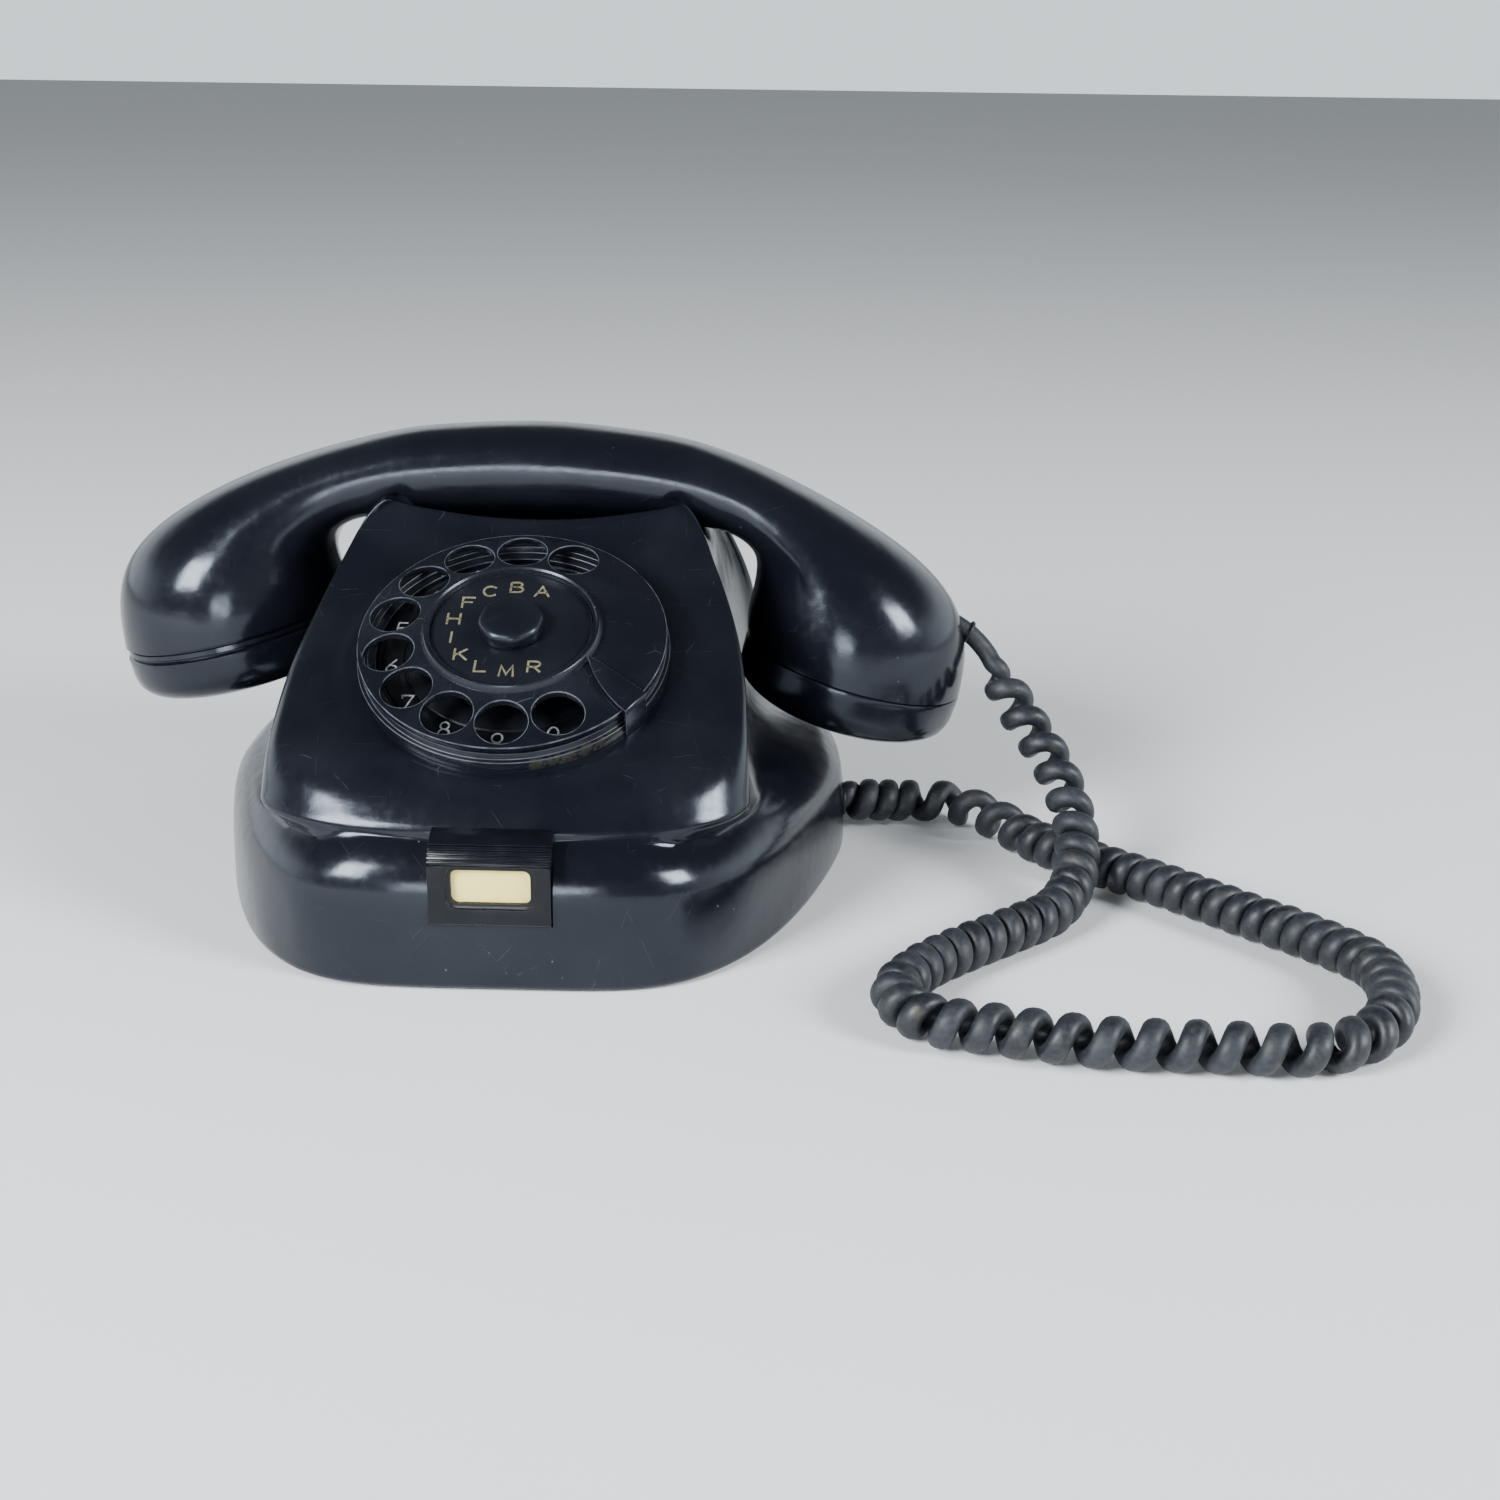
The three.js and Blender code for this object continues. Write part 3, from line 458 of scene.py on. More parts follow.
# Lighter finishes for the narrow rounded faces along edges: painted highlights on the edges.
EDGE_HIGHLIGHT_PAINT = plain("edge_highlight_paint", (0.070, 0.075, 0.095), 0.4, vary=0.9, scale=240)
PALE_HIGHLIGHT_PAINT = plain("pale_highlight_paint", (0.16, 0.17, 0.20), 0.35, vary=0.8, scale=220)
DIM_HIGHLIGHT_PAINT = plain("dim_highlight_paint", (0.030, 0.032, 0.040), 0.4, vary=0.9, scale=200)
RUBBER = plain("rubber", (0.008, 0.009, 0.012), 0.6)
LETTER_PAINT = plain("letter_paint", (0.150, 0.138, 0.078), 0.6, scale=900, vary=0.45)
DIGIT_PAINT = plain("digit_paint", (0.27, 0.28, 0.29), 0.6, scale=900, vary=0.35)
SLOT_FINISH = {
    "bakelite": BAKELITE, "inner_plastic": plain("inner_plastic", (0.010, 0.010, 0.012), 0.35), "rubber": RUBBER,
    "steel": plain("steel", (0.42, 0.43, 0.44), 0.38, 1.0, 0.2, 220, 0.00002, (1, 1, 12)),
    "brass": plain("brass", (0.55, 0.40, 0.17), 0.35, 1.0, 0.2, 180),
    "card": card_paper(), "window": clear_window(),
    "winding": plain("winding", (0.30, 0.11, 0.04), 0.45, 0.4, 0.3, 900, 0.0002, (1, 8, 1)),
    "fibre": plain("fibre", (0.16, 0.09, 0.05), 0.75),
}
SLOT_OF = {row["node"]: row["material_slot"] for row in frame["record"]["subparts"]}
for node, slot in SLOT_OF.items():
    frame["nodes"][node].data.materials.clear()
    frame["nodes"][node].data.materials.append(SLOT_FINISH[slot])

# ---------------------------------------------------------------- the curly cord
# Wire across and through the coil, wire where it is straight, coil to the wire's middle, its height on the table.
WIRE, FLATTER, BARE, COIL_R, FLOOR_Z = 5.7, 5.0, 5.3, 3.65, 6.4
ROUTE = [(115.5, 38, 60.6), (120.6, 37.2, 57.3), (125.6, 35.6, 52.2), (129.4, 31.5, 45.6), (134.4, 24, 38.6),
         (142, 11, 29.5), (146, 0, 22.6), (147.6, -12, 16.2), (146, -26, 9.4), (139, -41, FLOOR_Z),
         (128, -53, FLOOR_Z), (115, -65, FLOOR_Z), (103, -78, FLOOR_Z), (96.6, -92, FLOOR_Z), (103, -104, FLOOR_Z),
         (119, -109, FLOOR_Z), (142, -114, FLOOR_Z), (168, -115, FLOOR_Z), (191, -115, FLOOR_Z), (205, -106, FLOOR_Z),
         (213.5, -89, FLOOR_Z), (213.5, -71, FLOOR_Z), (204, -57, FLOOR_Z), (188, -41, FLOOR_Z),
         (170, -23, FLOOR_Z), (153, -8, FLOOR_Z), (139, 7, FLOOR_Z), (128, 25, FLOOR_Z), (117, 36, FLOOR_Z),
         (104, 35, 7), INLET, (84, 31, 8.5)]
# Distance between turns along the route, as (share of the route, mm).
PITCH = [(0, 70), (0.02, 34), (0.034, 10.4), (0.12, 10.2), (0.17, 6.8), (0.3, 6.2), (0.345, 5.9), (0.385, 7.6),
         (0.42, 8.9), (0.5, 9.3), (0.58, 8.8), (0.63, 6.3), (0.7, 5.9), (0.858, 6.2), (0.885, 11.5), (0.925, 12),
         (0.952, 9.6), (0.967, 6), (1, 5.8)]


def smooth_line(points, step):
    """A centripetal Catmull-Rom curve through the points, at even steps."""
    p = np.array(points, float)
    p = np.concatenate([[2 * p[0] - p[1]], p, [2 * p[-1] - p[-2]]])
    line = []
    for k in range(1, len(p) - 2):
        knot = np.r_[0, np.cumsum(np.linalg.norm(np.diff(p[k - 1:k + 3], axis=0), axis=1) ** 0.5)]
        t = np.linspace(knot[1], knot[2], 24, endpoint=False)[:, None]
        a = [(knot[i + 1] - t) / (knot[i + 1] - knot[i]) * p[k - 1 + i]
             + (t - knot[i]) / (knot[i + 1] - knot[i]) * p[k + i] for i in range(3)]
        b = [(knot[i + 2] - t) / (knot[i + 2] - knot[i]) * a[i]
             + (t - knot[i]) / (knot[i + 2] - knot[i]) * a[i + 1] for i in range(2)]
        line.append((knot[2] - t) / (knot[2] - knot[1]) * b[0] + (t - knot[1]) / (knot[2] - knot[1]) * b[1])
    line = np.concatenate(line + [p[-2][None]])
    length = np.linalg.norm(np.diff(line, axis=0), axis=1).sum()
    return spread(line, int(length / step) + 1)


def frames(line):
    """Tangents, and normals that turn as little as they can, along a line."""
    tangent = np.gradient(line, axis=0)
    tangent /= np.linalg.norm(tangent, axis=1)[:, None]
    normal = np.zeros_like(line)
    normal[0] = np.cross(tangent[0], (0, 1, 0))
    for k in range(1, len(line)):
        normal[k] = normal[k - 1] - tangent[k] * (normal[k - 1] @ tangent[k])
        normal[k] /= np.linalg.norm(normal[k])
    normal[0] /= np.linalg.norm(normal[0])
    return tangent, normal, np.cross(tangent, normal)


def curly_cord():
    """The coil wound about the route; its bare end leaves the handset as a plain round wire."""
    step = 0.35
    route = smooth_line(ROUTE, step)
    far = np.linspace(0, 1, len(route))
    length = step * (len(route) - 1)
    radius = COIL_R * ease(far * length, 15, 27) * ease((1 - far) * length, 0.5, 5)
    full = radius / COIL_R
    tangent, normal, side = frames(route)
    phase = 1.5 + TAU * np.cumsum(step / curve(PITCH, far))[:, None]
    outward_way = normal * np.cos(phase) - side * np.sin(phase)
    wire = route + radius[:, None] * outward_way
    run = np.r_[0, np.cumsum(np.linalg.norm(np.diff(wire, axis=0), axis=1))]
    even = np.linspace(0, run[-1], int(run[-1] / 0.9))
    full = np.interp(even, run, full)[:, None, None]
    wire, outward_way = (np.stack([np.interp(even, run, v[:, k]) for k in range(3)], 1) for v in (wire, outward_way))
    along = frames(wire)[0]
    across = np.cross(along, outward_way)
    across /= np.linalg.norm(across, axis=1)[:, None]
    outward_way = np.cross(across, along)
    corners = 14
    angle = (np.arange(corners) + 0.5) * TAU / corners
    cos, sin = (np.sign(v) * np.abs(v) ** mix(1, 0.86, full)
                for v in (np.cos(angle)[:, None], np.sin(angle)[:, None]))
    rings = (wire[:, None] + mix(BARE, FLATTER, full) / 2 * outward_way[:, None] * cos
             + mix(BARE, WIRE, full) / 2 * across[:, None] * sin)
    cord = piece("curly_cord", *tube_mesh(rings), CORD, None, 60, ("handset_cord",))
    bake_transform(cord)


BUSH = turned(rounded([(2.9, -6), (4.1, -6), (4.1, 1.2), (4.6, 1.4), (4.3, 2.2), (2.9, 2.2)], 0.4), 48)
bush = piece("cord_bush", rotate(BUSH[0], "Y", math.pi / 2) + (84.6, INLET[1], INLET[2]), BUSH[1], RUBBER,
             "telephone", replaced=("handset_cord_bush",))
collar = turned(rounded([(2.95, -0.4), (3.5, -0.4), (3.3, 0.35), (2.95, 0.35)], 0.15), 40)
grommet = piece("cord_grommet", on_handset(rotate(collar[0], "Y", math.pi / 2 + 0.5) + (120.3, HANDSET_Y, 60.2)),
                collar[1], RUBBER, "handset", replaced=("handset_cord_grommet",))
curly_cord()


# ---------------------------------------------------------------- casing
# The tower's outlines: height, and half width or y there.
TOWER_EDGE = [(33, 60.6), (35, 61), (57, 59.8), (98, 43.4), (101, 42)]
TOWER_WAIST = [(33, 70), (36, 63), (43, 56), (52, 52.8), (60, 51.6), (75, 50.2), (88, 47.6), (101, 44)]
TOWER_REAR = [(34, 75), (50, 72.5), (75, 66), (92, 60), (101, 57)]
EDGE_Y = [(33, -54), (35, -54), (40, -50.6), (50, -43.5), (57, -33.4), (73.4, -8), (88, 6.1), (98, 17)]
FLARE = [(36.4, -74.7), (36.9, -75.2), (37.5, -75.15), (38.8, -74.3), (41, -72.3), (44, -69.4), (47, -65.4),
         (50, -60.6)]
SUMMIT = [(86.5, 10), (90, 13.8), (93.6, 16.5), (101, 21)]
# Skirt profile: inward shift, height at the front, height at the sides.
SKIRT = [(3.4, 5, 5), (3.4, 1.2, 1.2), (2.9, 0.8, 0.8), (0.7, 0.8, 0.8), (0.15, 1.2, 1.2), (0, 2, 2), (0.1, 8, 8),
         (0.2, 15, 13), (0.35, 21.4, 17.5), (0.9, 25.4, 21), (1.4, 27.2, 22.6), (2.2, 29.2, 24.2), (3.2, 31, 25.6),
         (4.5, 32.6, 27), (5.7, 33.8, 28), (6.8, 34.8, 28.9), (7.9, 35.3, 29.6), (8.9, 35.5, 30.1)]


def skirt_angle(part):
    """part runs round the plan: 0 front middle, 1 front corner, 2 rear corner, 3 rear middle."""
    return np.interp(part, [0, 1, 2, 3], [0, math.radians(38), math.radians(135), math.pi])


def skirt_point(angle, inset):
    front, rear = BODY["widest"] - BODY["front"] - inset, BODY["rear"] - BODY["widest"] - inset
    across, along = np.sin(angle), -np.cos(angle)
    ahead = along < 0
    square = np.where(ahead, *BODY["square"])
    radius = (np.abs(across / (BODY["half"] - inset)) ** square
              + np.abs(along / np.where(ahead, front, rear)) ** square) ** (-1 / square)
    y = along * radius
    draw = np.where(ahead, 1 - BODY["taper"] * np.clip(-y / front, 0, 1) ** BODY["power"], 1)
    return across * radius * draw, BODY["widest"] + y


def tower_point(part, z):
    """Plan position on the tower at a height; the front lies in the dial's plane above the flare."""
    edge, side_y, rear_y = curve(TOWER_EDGE, z), curve(EDGE_Y, z), curve(TOWER_REAR, z) - 7
    plane = PANEL_Y + (z - PANEL_Z) / math.tan(TILT)
    front = np.where(z > 86.5, curve(SUMMIT, z), np.maximum(plane, curve(FLARE, z)))
    p = np.clip(part, 0, 1)
    square = 2.35 + 1.8 * ease(z, 38, 54)
    share = np.where(front < side_y, np.sqrt(1 - p ** square), 1 - p ** 2.5)
    t = np.clip(part - 1, 0, 1)
    lip = LIP * ease(z, 42, 50) * ease(t, 0, 0.02) * (1 - ease(t, 0.98, 1))
    hollow = edge - lip - curve(TOWER_WAIST, z)
    turn = np.clip(part - 2, 0, 1) * math.pi / 2
    cos, sin = np.clip(np.cos(turn), 0, 1), np.sin(turn)
    bow = np.sin(math.pi * t) ** np.where(hollow > 0, 0.7, 1.6)
    x = np.select([part <= 1, part <= 2], [p * edge, edge - lip - hollow * bow],
                  edge * cos ** 0.35)
    y = np.select([part <= 1, part <= 2], [mix(side_y, front, share), mix(side_y, rear_y, t)],
                  rear_y + 7 * sin ** 0.6)
    return x, y


def top_height(x, y):
    """Height of the top: a trough for the handset between two ridges that rise into horns."""
    x = np.abs(x)
    saddle = np.where(x < CRADLE["horn_x"], mix(CRADLE["ridge"], CRADLE["horn"], (x / CRADLE["horn_x"]) ** 2),
                      CRADLE["horn"] - 0.1 * (x - CRADLE["horn_x"]) ** 2)
    trough = CRADLE["floor"] + 2.6 * np.minimum(1, x / 40) ** 2
    return mix(trough, saddle, ease(np.abs(y - CRADLE["y"]), 14, CRADLE["gap"]))


def casing_grid():
    """Rows of points from the inside of the foot up the skirt and the tower, and in over the top."""
    part = np.unique(np.r_[np.linspace(0, 1, 400), 1 + np.linspace(0, 1, 400) ** 2 / 2,
                           2 - np.linspace(0, 1, 400) ** 2 / 2, np.linspace(2, 3, 400)])
    cuts = [np.flatnonzero(part <= 1), np.flatnonzero((part >= 1) & (part <= 2)), np.flatnonzero(part >= 2)]
    rim = np.full(len(part), 97.0)
    for _ in range(12):
        rim = mix(rim, top_height(*tower_point(part, rim)), 0.6)
    weight = np.sin(math.pi * np.clip((part - 0.6) / 1.8, 0, 1)) ** 2
    low = np.interp(part, [1, 1.001, 2, 3], [STEP["front"], STEP["side"], STEP["side"], STEP["rear"]])
    low = mix(STEP["front"], low, ease(part, 0.75, 1.1))
    rows = []
    for inset, z_front, z_side in SKIRT:
        x, y = skirt_point(skirt_angle(part), inset)
        rows.append((x, y, mix(z_front, z_side, weight)))
    for share in np.r_[0, 0.012, np.linspace(0.03, 0.9, 48), np.linspace(0.915, 1, 8)]:
        z = mix(low, rim, share)
        rows.append((*tower_point(part, z), z))
    rim_x, rim_y = tower_point(part, rim)
    for share in np.r_[np.linspace(0.985, 0.88, 8), np.linspace(0.86, 0.04, 34)]:
        x, y = rim_x * share, mix(CRADLE["y"], rim_y, share)
        rows.append((x, y, top_height(x, y)))
    grid = []
    for row in rows:
        line = np.stack(row, 1)
        half = np.concatenate([spread(line[cut], count)[:-1] for cut, count in zip(cuts, (65, 61, 41))]
                              + [line[-1:]])
        grid.append(np.concatenate([half, half[1:-1][::-1] * (-1, 1, 1)]))
    return np.array(grid)


def seat_dial(grid):
    """Keeps the panel flat under the dial."""
    local = rotate(grid - (0, PANEL_Y, PANEL_Z), "X", -TILT)
    r = np.hypot(local[..., 0], local[..., 1])
    near = (1 - ease(r, 42.5, 46)) * (local[..., 2] > -8)
    local[..., 2] = mix(local[..., 2], 0.0, near)
    return on_panel(local.reshape(-1, 3)).reshape(grid.shape)


def casing():
    grid = casing_grid()
    rows = len(grid)
    grid = relax(grid, 1, 5, closed=True)
    rim_row = len(SKIRT) + 57
    near_rim = np.exp(-((np.arange(rows) - rim_row) / 6.0) ** 2)[:, None, None]
    grid = relax(grid, 0, 14, share=near_rim)
    grid = relax(grid, 0, 2, share=ease(np.arange(rows), 4, 9)[:, None, None])
    grid = seat_dial(grid)
    shell = piece("casing", *tube_mesh(grid), BAKELITE, None, 50)
    carve(shell, [block((-14.7, -90, 17.3), (15.1, -74.5, 39.4))])
    finish(shell, BAKELITE, 50)
    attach(shell, "telephone")
    stand_for(("housing",))


casing()


# ---------------------------------------------------------------- number card and its holder
def card_holder():
    """A block with a ridged, curved top and a sunk window with rounded corners."""
    front = np.stack([curve([(0, y0), (1, y1), (2, y2), (3, y3), (4, y4), (5, y5)], np.linspace(0, 5, 76))
                      for y0, y1, y2, y3, y4, y5 in ((-83.8, -83.5, -82.4, -80.4, -77.6, -74.8),
                                                     (30.6, 33, 35.2, 37.1, 38.6, 39.2))], 1)
    away = np.gradient(front, axis=0)
    away = np.stack([away[:, 1], -away[:, 0]], 1) / np.linalg.norm(away, axis=1)[:, None]
    for start in (14, 21, 28, 35, 42):
        front[start:start + 3] += 0.7 * away[start:start + 3]
    profile = [(-83.5, 17.6), (-83.8, 18.1), (-83.8, 23), *front, (-74.8, 17.6)]
    holder = piece("card_frame", *tube_mesh(np.array([[(x, y, z) for y, z in profile] for x in (-14.4, 14.8)])),
                   HOLDER_BLACK, None)
    for growth, depths in (((1.5, 1.1, 0.2), (-84.2, -83.4, -83.2)), ((0, 0), (-85, -81.4))):
        carve(holder, [window_block(growth, depths)])
    # The rounded edges get a pale colour: a painted highlight.
    bevel(holder, 0.2, 2, 28, PALE_HIGHLIGHT_PAINT)
    finish(holder, None, 40)
    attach(holder, "telephone")
    stand_for(("card_holder",))


def window_block(growth, depths):
    """Rings of the window's outline, each grown by so much and at such a depth."""
    rings = [[(x + 0.5, y, z) for x, z in rounded_rectangle(9.5 + grow, 4.3 + grow, 1.7 + grow, 27.5)]
             for grow, y in zip(growth, depths)]
    return tube_mesh(np.array(rings))


def rounded_rectangle(half_x, half_z, radius, centre_z, steps=8):
    outline = []
    for sx, sz, start in ((1, 1, 0), (-1, 1, 90), (-1, -1, 180), (1, -1, 270)):
        for a in np.linspace(start, start + 90, steps):
            outline.append((sx * (half_x - radius) + radius * math.cos(math.radians(a)),
                            centre_z + sz * (half_z - radius) + radius * math.sin(math.radians(a))))
    return outline


card_holder()
piece("paper_card", *window_block((0.3, 0.3), (-81.9, -81.6)), SLOT_FINISH["card"], "telephone", 35, ("number_card",))
piece("card_cover", *window_block((-0.02, -0.02, -0.2), (-82.1, -82.5, -82.7)), SLOT_FINISH["window"],
      "telephone", 35, ("card_window",))


# ---------------------------------------------------------------- dial
def wheel_top(r):
    """Height of the wheel's coned top above the panel."""
    return HOLE_TOP + (HOLE_CIRCLE - r) * CONE


def polar(r, degrees):
    return r * math.cos(math.radians(degrees)), r * math.sin(math.radians(degrees))


def dial_piece(name, profile, material, body, node, wave=None, width=0.16, edge_highlight_finish=DIM_HIGHLIGHT_PAINT):
    """A piece turned about the dial's axis, with its edges rounded and, by default, painted a little lighter there as
    a highlight.
    """
    points, faces = turned(profile, 160, wave)
    obj = piece(name, on_panel(points), faces, material, body, 40, (node,))
    bevel(obj, width, 2, 35, edge_highlight_finish)
    finish(obj, None, 40)


DIRT = [(on_panel([(*polar(39.6, a), 1.2 + 0.5 * (k % 2))])[0], 3.4, 0.2, (0.085, 0.078, 0.046))
        for k, a in enumerate(range(-76, -42, 6))]
RING_BAKELITE = bakelite("ring_bakelite", dust=0.8, wear=0.6, rough=0.2, marks=DIRT)
dial_piece("dial_seat", [(34.9, 0.1), (39.9, 0.1), (39.75, 1.2), (39.6, 2.8), (38.6, 3.1), (38.4, 4.8), (37.5, 4.8),
                         (36.9, 3.3), (34.9, 2.7)],
           RING_BAKELITE, "telephone", "dial_ring")
dial_piece("number_disc", [(9, 0.6), (34.6, 0.6), (34.6, 1.6), (34.1, 1.6), (34, 1.25), (33.5, 1.25), (33.4, 1.6),
                           (28, 1.6), (27.9, 1.3), (27.5, 1.3), (27.4, 1.6), (9, 1.6)], DEEP_BLACK, "telephone",
           "number_plate", width=0.07, edge_highlight_finish=DEEP_BLACK)


def finger_wheel():
    profile = [(10, wheel_top(10) - 2.6), (22, wheel_top(22) - 1.8), (38.9, wheel_top(WHEEL_R) - 1.8),
               (WHEEL_R, wheel_top(WHEEL_R)), (31, wheel_top(31)), (23.2, wheel_top(23.2)),
               (22.7, wheel_top(22.7) + 0.15), (22.45, 11.2), (22.0, 11.7), (21.6, 11.7), (21.2, 11.3),
               (20.6, 11.35), (20.5, 9.5), (10, 9.5)]
    points, faces = turned(profile, 240)
    wheel = piece("finger_plate", on_panel(points), faces, WHEEL_BAKELITE, None)
    holes = []
    for k in range(10):
        x, y = polar(HOLE_CIRCLE, FIRST_HOLE + k * HOLE_STEP)
        points, faces = turned([(0, 4), (HOLE_R, 4), (HOLE_R, 14), (0, 14)], 72)
        holes.append((on_panel(points + (x, y, 0)), faces))
    carve(wheel, holes)
    # The rounded edges, round the holes too, get a lighter colour: a painted highlight.
    bevel(wheel, 0.12, 2, 50, DIM_HIGHLIGHT_PAINT)
    finish(wheel, None, 35)
    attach(wheel, "dial")
    stand_for(("finger_wheel",))


def painted_rim_highlights():
    """Thin rounded lips painted lighter along the wheel's edges as a painted highlight: round each hole and at the
    rim.
    """
    # Outwards from the edge, and above the wheel's top.
    section = ((-0.02, -0.3), (-0.03, -0.1), (0.02, 0.005), (0.08, 0.02), (0.15, 0.005), (0.17, -0.25))
    sides_count = 120
    angle = np.arange(sides_count) * TAU / sides_count
    points, faces, base = [], [], 0
    centres = [(*polar(HOLE_CIRCLE, FIRST_HOLE + k * HOLE_STEP), HOLE_R, 1) for k in range(10)]
    centres.append((0, 0, WHEEL_R, -1))
    for x, y, radius, way in centres:
        rows = []
        for out, rise in (*section, section[0]):
            px, py = x + (radius + way * out) * np.cos(angle), y + (radius + way * out) * np.sin(angle)
            rows.append(np.stack([px, py, wheel_top(np.hypot(px, py)) + rise], 1))
        some = np.array(rows[:-1]).reshape(-1, 3)
        sides = [tuple(v % len(some) for v in face) for face in grid_faces(len(rows), sides_count)]
        points.append(some)
        faces += [tuple(base + v for v in side) for side in outward(some, sides)]
        base += len(some)
    rims = piece("wheel_edge_highlights", on_panel(np.concatenate(points)), faces, EDGE_HIGHLIGHT_PAINT, "dial", 60)


finger_wheel()
painted_rim_highlights()
dial_piece("letter_plate", [(0, 9.6), (20.3, 9.6), (20.3, 10.3), (0, 10.3)], DISC_BLACK, "dial", "letter_disc")
dial_piece("hub_button", [(0, 10.35), (8.1, 10.35), (8.3, 10.7), (8.3, 12.6), (8.15, 13.4), (7.8, 14.0), (7.2, 14.4),
                          (6.2, 14.7), (3.2, 14.9), (0, 14.95)], DISC_BLACK, "dial", "hub_cap",
           wave=lambda a: 1 - 0.030 * (1 - np.cos(8 * (a - 0.2))) / 2)


def finger_stop():
    """A claw from the ring's rim over the wheel to its hub."""
    # Distance, direction, half width on either side, underside and top.
    stations = [
        (40.6, -36.0, 3.3, 3.3, 0.3, 6.6), (40.5, -36.0, 3.8, 3.8, 0.2, 8.2), (40.25, -35.9, 3.9, 3.9, 0.2, 8.6),
        (40.05, -35.8, 3.9, 3.9, 2.4, 8.7), (39.7, -35.7, 4.0, 3.9, 7.75, 8.8), (38, -35, 4.3, 3.6, 8.05, 9.0),
        (34, -33.4, 4.4, 2.6, 8.65, 9.65), (30.6, -31.8, 4.0, 1.8, 9.15, 10.2), (28, -30.4, 3.3, 1.2, 9.5, 10.65),
        (25.8, -29.2, 2.3, 0.8, 9.9, 11.0), (24.2, -28.4, 1.3, 0.5, 10.3, 11.3), (23, -28, 0.4, 0.2, 10.7, 11.45)]
    rings = []
    for r, degrees, right_half, left_half, low, high in stations:
        x, y = polar(r, degrees)
        across = np.array(polar(1, degrees + 90))
        ring = []
        for u, v in ((-1, 0), (-1, 1), (0, 1.02), (1, 1), (1, 0)):
            half = right_half if u < 0 else left_half
            ring.append((*(np.array((x, y)) + across * half * u), low + (high - low) * v))
        rings.append(ring)
    points, faces = tube_mesh(np.array(rings, float)[::-1])
    stop = piece("stop_horn", on_panel(points), faces, WHEEL_BAKELITE, "telephone", 38, ("finger_stop",))
    # The rounded edges get a lighter colour: a painted highlight.
    bevel(stop, 0.2, 2, 40, EDGE_HIGHLIGHT_PAINT)
    finish(stop, None, 38)


finger_stop()


# ---------------------------------------------------------------- letters and digits, as thin strokes
def arc(cx, cy, rx, ry, start, end, steps=12):
    return [(cx + rx * math.cos(math.radians(a)), cy + ry * math.sin(math.radians(a)))
            for a in np.linspace(start, end, steps)]


GLYPHS = {
    "A": [[(0, 0), (0.5, 1), (1, 0)], [(0.2, 0.36), (0.8, 0.36)]],
    "B": [[(0.08, 0), (0.08, 1)], [(0.08, 1), (0.55, 1), *arc(0.58, 0.765, 0.3, 0.235, 90, -90), (0.08, 0.53)],
          [(0.08, 0.53), *arc(0.64, 0.265, 0.34, 0.265, 90, -90), (0.08, 0)]],
    "C": [arc(0.52, 0.5, 0.5, 0.5, 48, 312, 24)],
    "F": [[(0.12, 0), (0.12, 1), (0.95, 1)], [(0.12, 0.52), (0.78, 0.52)]],
    "H": [[(0.05, 0), (0.05, 1)], [(0.95, 0), (0.95, 1)], [(0.05, 0.52), (0.95, 0.52)]],
    "I": [[(0.5, 0), (0.5, 1)]],
    "K": [[(0.08, 0), (0.08, 1)], [(0.9, 1), (0.08, 0.4)], [(0.36, 0.6), (0.95, 0)]],
    "L": [[(0.12, 1), (0.12, 0), (0.9, 0)]],
    "M": [[(0, 0), (0.1, 1), (0.5, 0.15), (0.9, 1), (1, 0)]],
    "R": [[(0.08, 0), (0.08, 1), (0.55, 1), *arc(0.6, 0.74, 0.32, 0.26, 90, -90), (0.08, 0.48)],
          [(0.5, 0.48), (0.95, 0)]],
    "1": [[(0.25, 0.78), (0.6, 1), (0.6, 0)]],
    "2": [[*arc(0.5, 0.7, 0.42, 0.3, 160, -20), (0.05, 0), (0.95, 0)]],
    "3": [[*arc(0.48, 0.75, 0.36, 0.25, 150, -90)], [*arc(0.48, 0.25, 0.42, 0.25, 90, -150)]],
    "4": [[(0.75, 0), (0.75, 1), (0.05, 0.3), (0.98, 0.3)]],
    "5": [[(0.88, 1), (0.2, 1), (0.14, 0.55), *arc(0.48, 0.32, 0.42, 0.32, 120, -150)]],
    "6": [[(0.75, 1), (0.22, 0.55), *arc(0.5, 0.31, 0.42, 0.31, 150, 510, 24)]],
    "7": [[(0.05, 0.85), (0.05, 1), (0.95, 1), (0.35, 0)]],
    "8": [arc(0.5, 0.76, 0.34, 0.24, 0, 360, 22), arc(0.5, 0.26, 0.43, 0.26, 0, 360, 22)],
    "9": [[(0.25, 0), (0.78, 0.45), *arc(0.5, 0.69, 0.42, 0.31, -30, 330, 24)]],
    "0": [arc(0.5, 0.5, 0.43, 0.5, 0, 360, 28)],
}


def stroke_ribbon(line, width, low, high):
    """A flat ribbon about a line in the plane, with square corners kept even in width."""
    line = np.array(line, float)
    step = np.diff(line, axis=0)
    step /= np.linalg.norm(step, axis=1)[:, None]
    ahead, behind = np.vstack([step, step[-1:]]), np.vstack([step[:1], step])
    tangent = ahead + behind
    tangent /= np.linalg.norm(tangent, axis=1)[:, None]
    stretch = 1 / np.clip((tangent * ahead).sum(1), 0.5, 1)
    side = np.stack([-tangent[:, 1], tangent[:, 0]], 1) * (width / 2 * stretch)[:, None]
    line[0] -= step[0] * width * 0.4
    line[-1] += step[-1] * width * 0.4
    ring = [np.concatenate([line + s * side, np.full((len(line), 1), h)], 1)
            for s, h in ((-1, low), (1, low), (0.8, high), (-0.8, high))]
    return tube_mesh(np.stack(ring, 1))


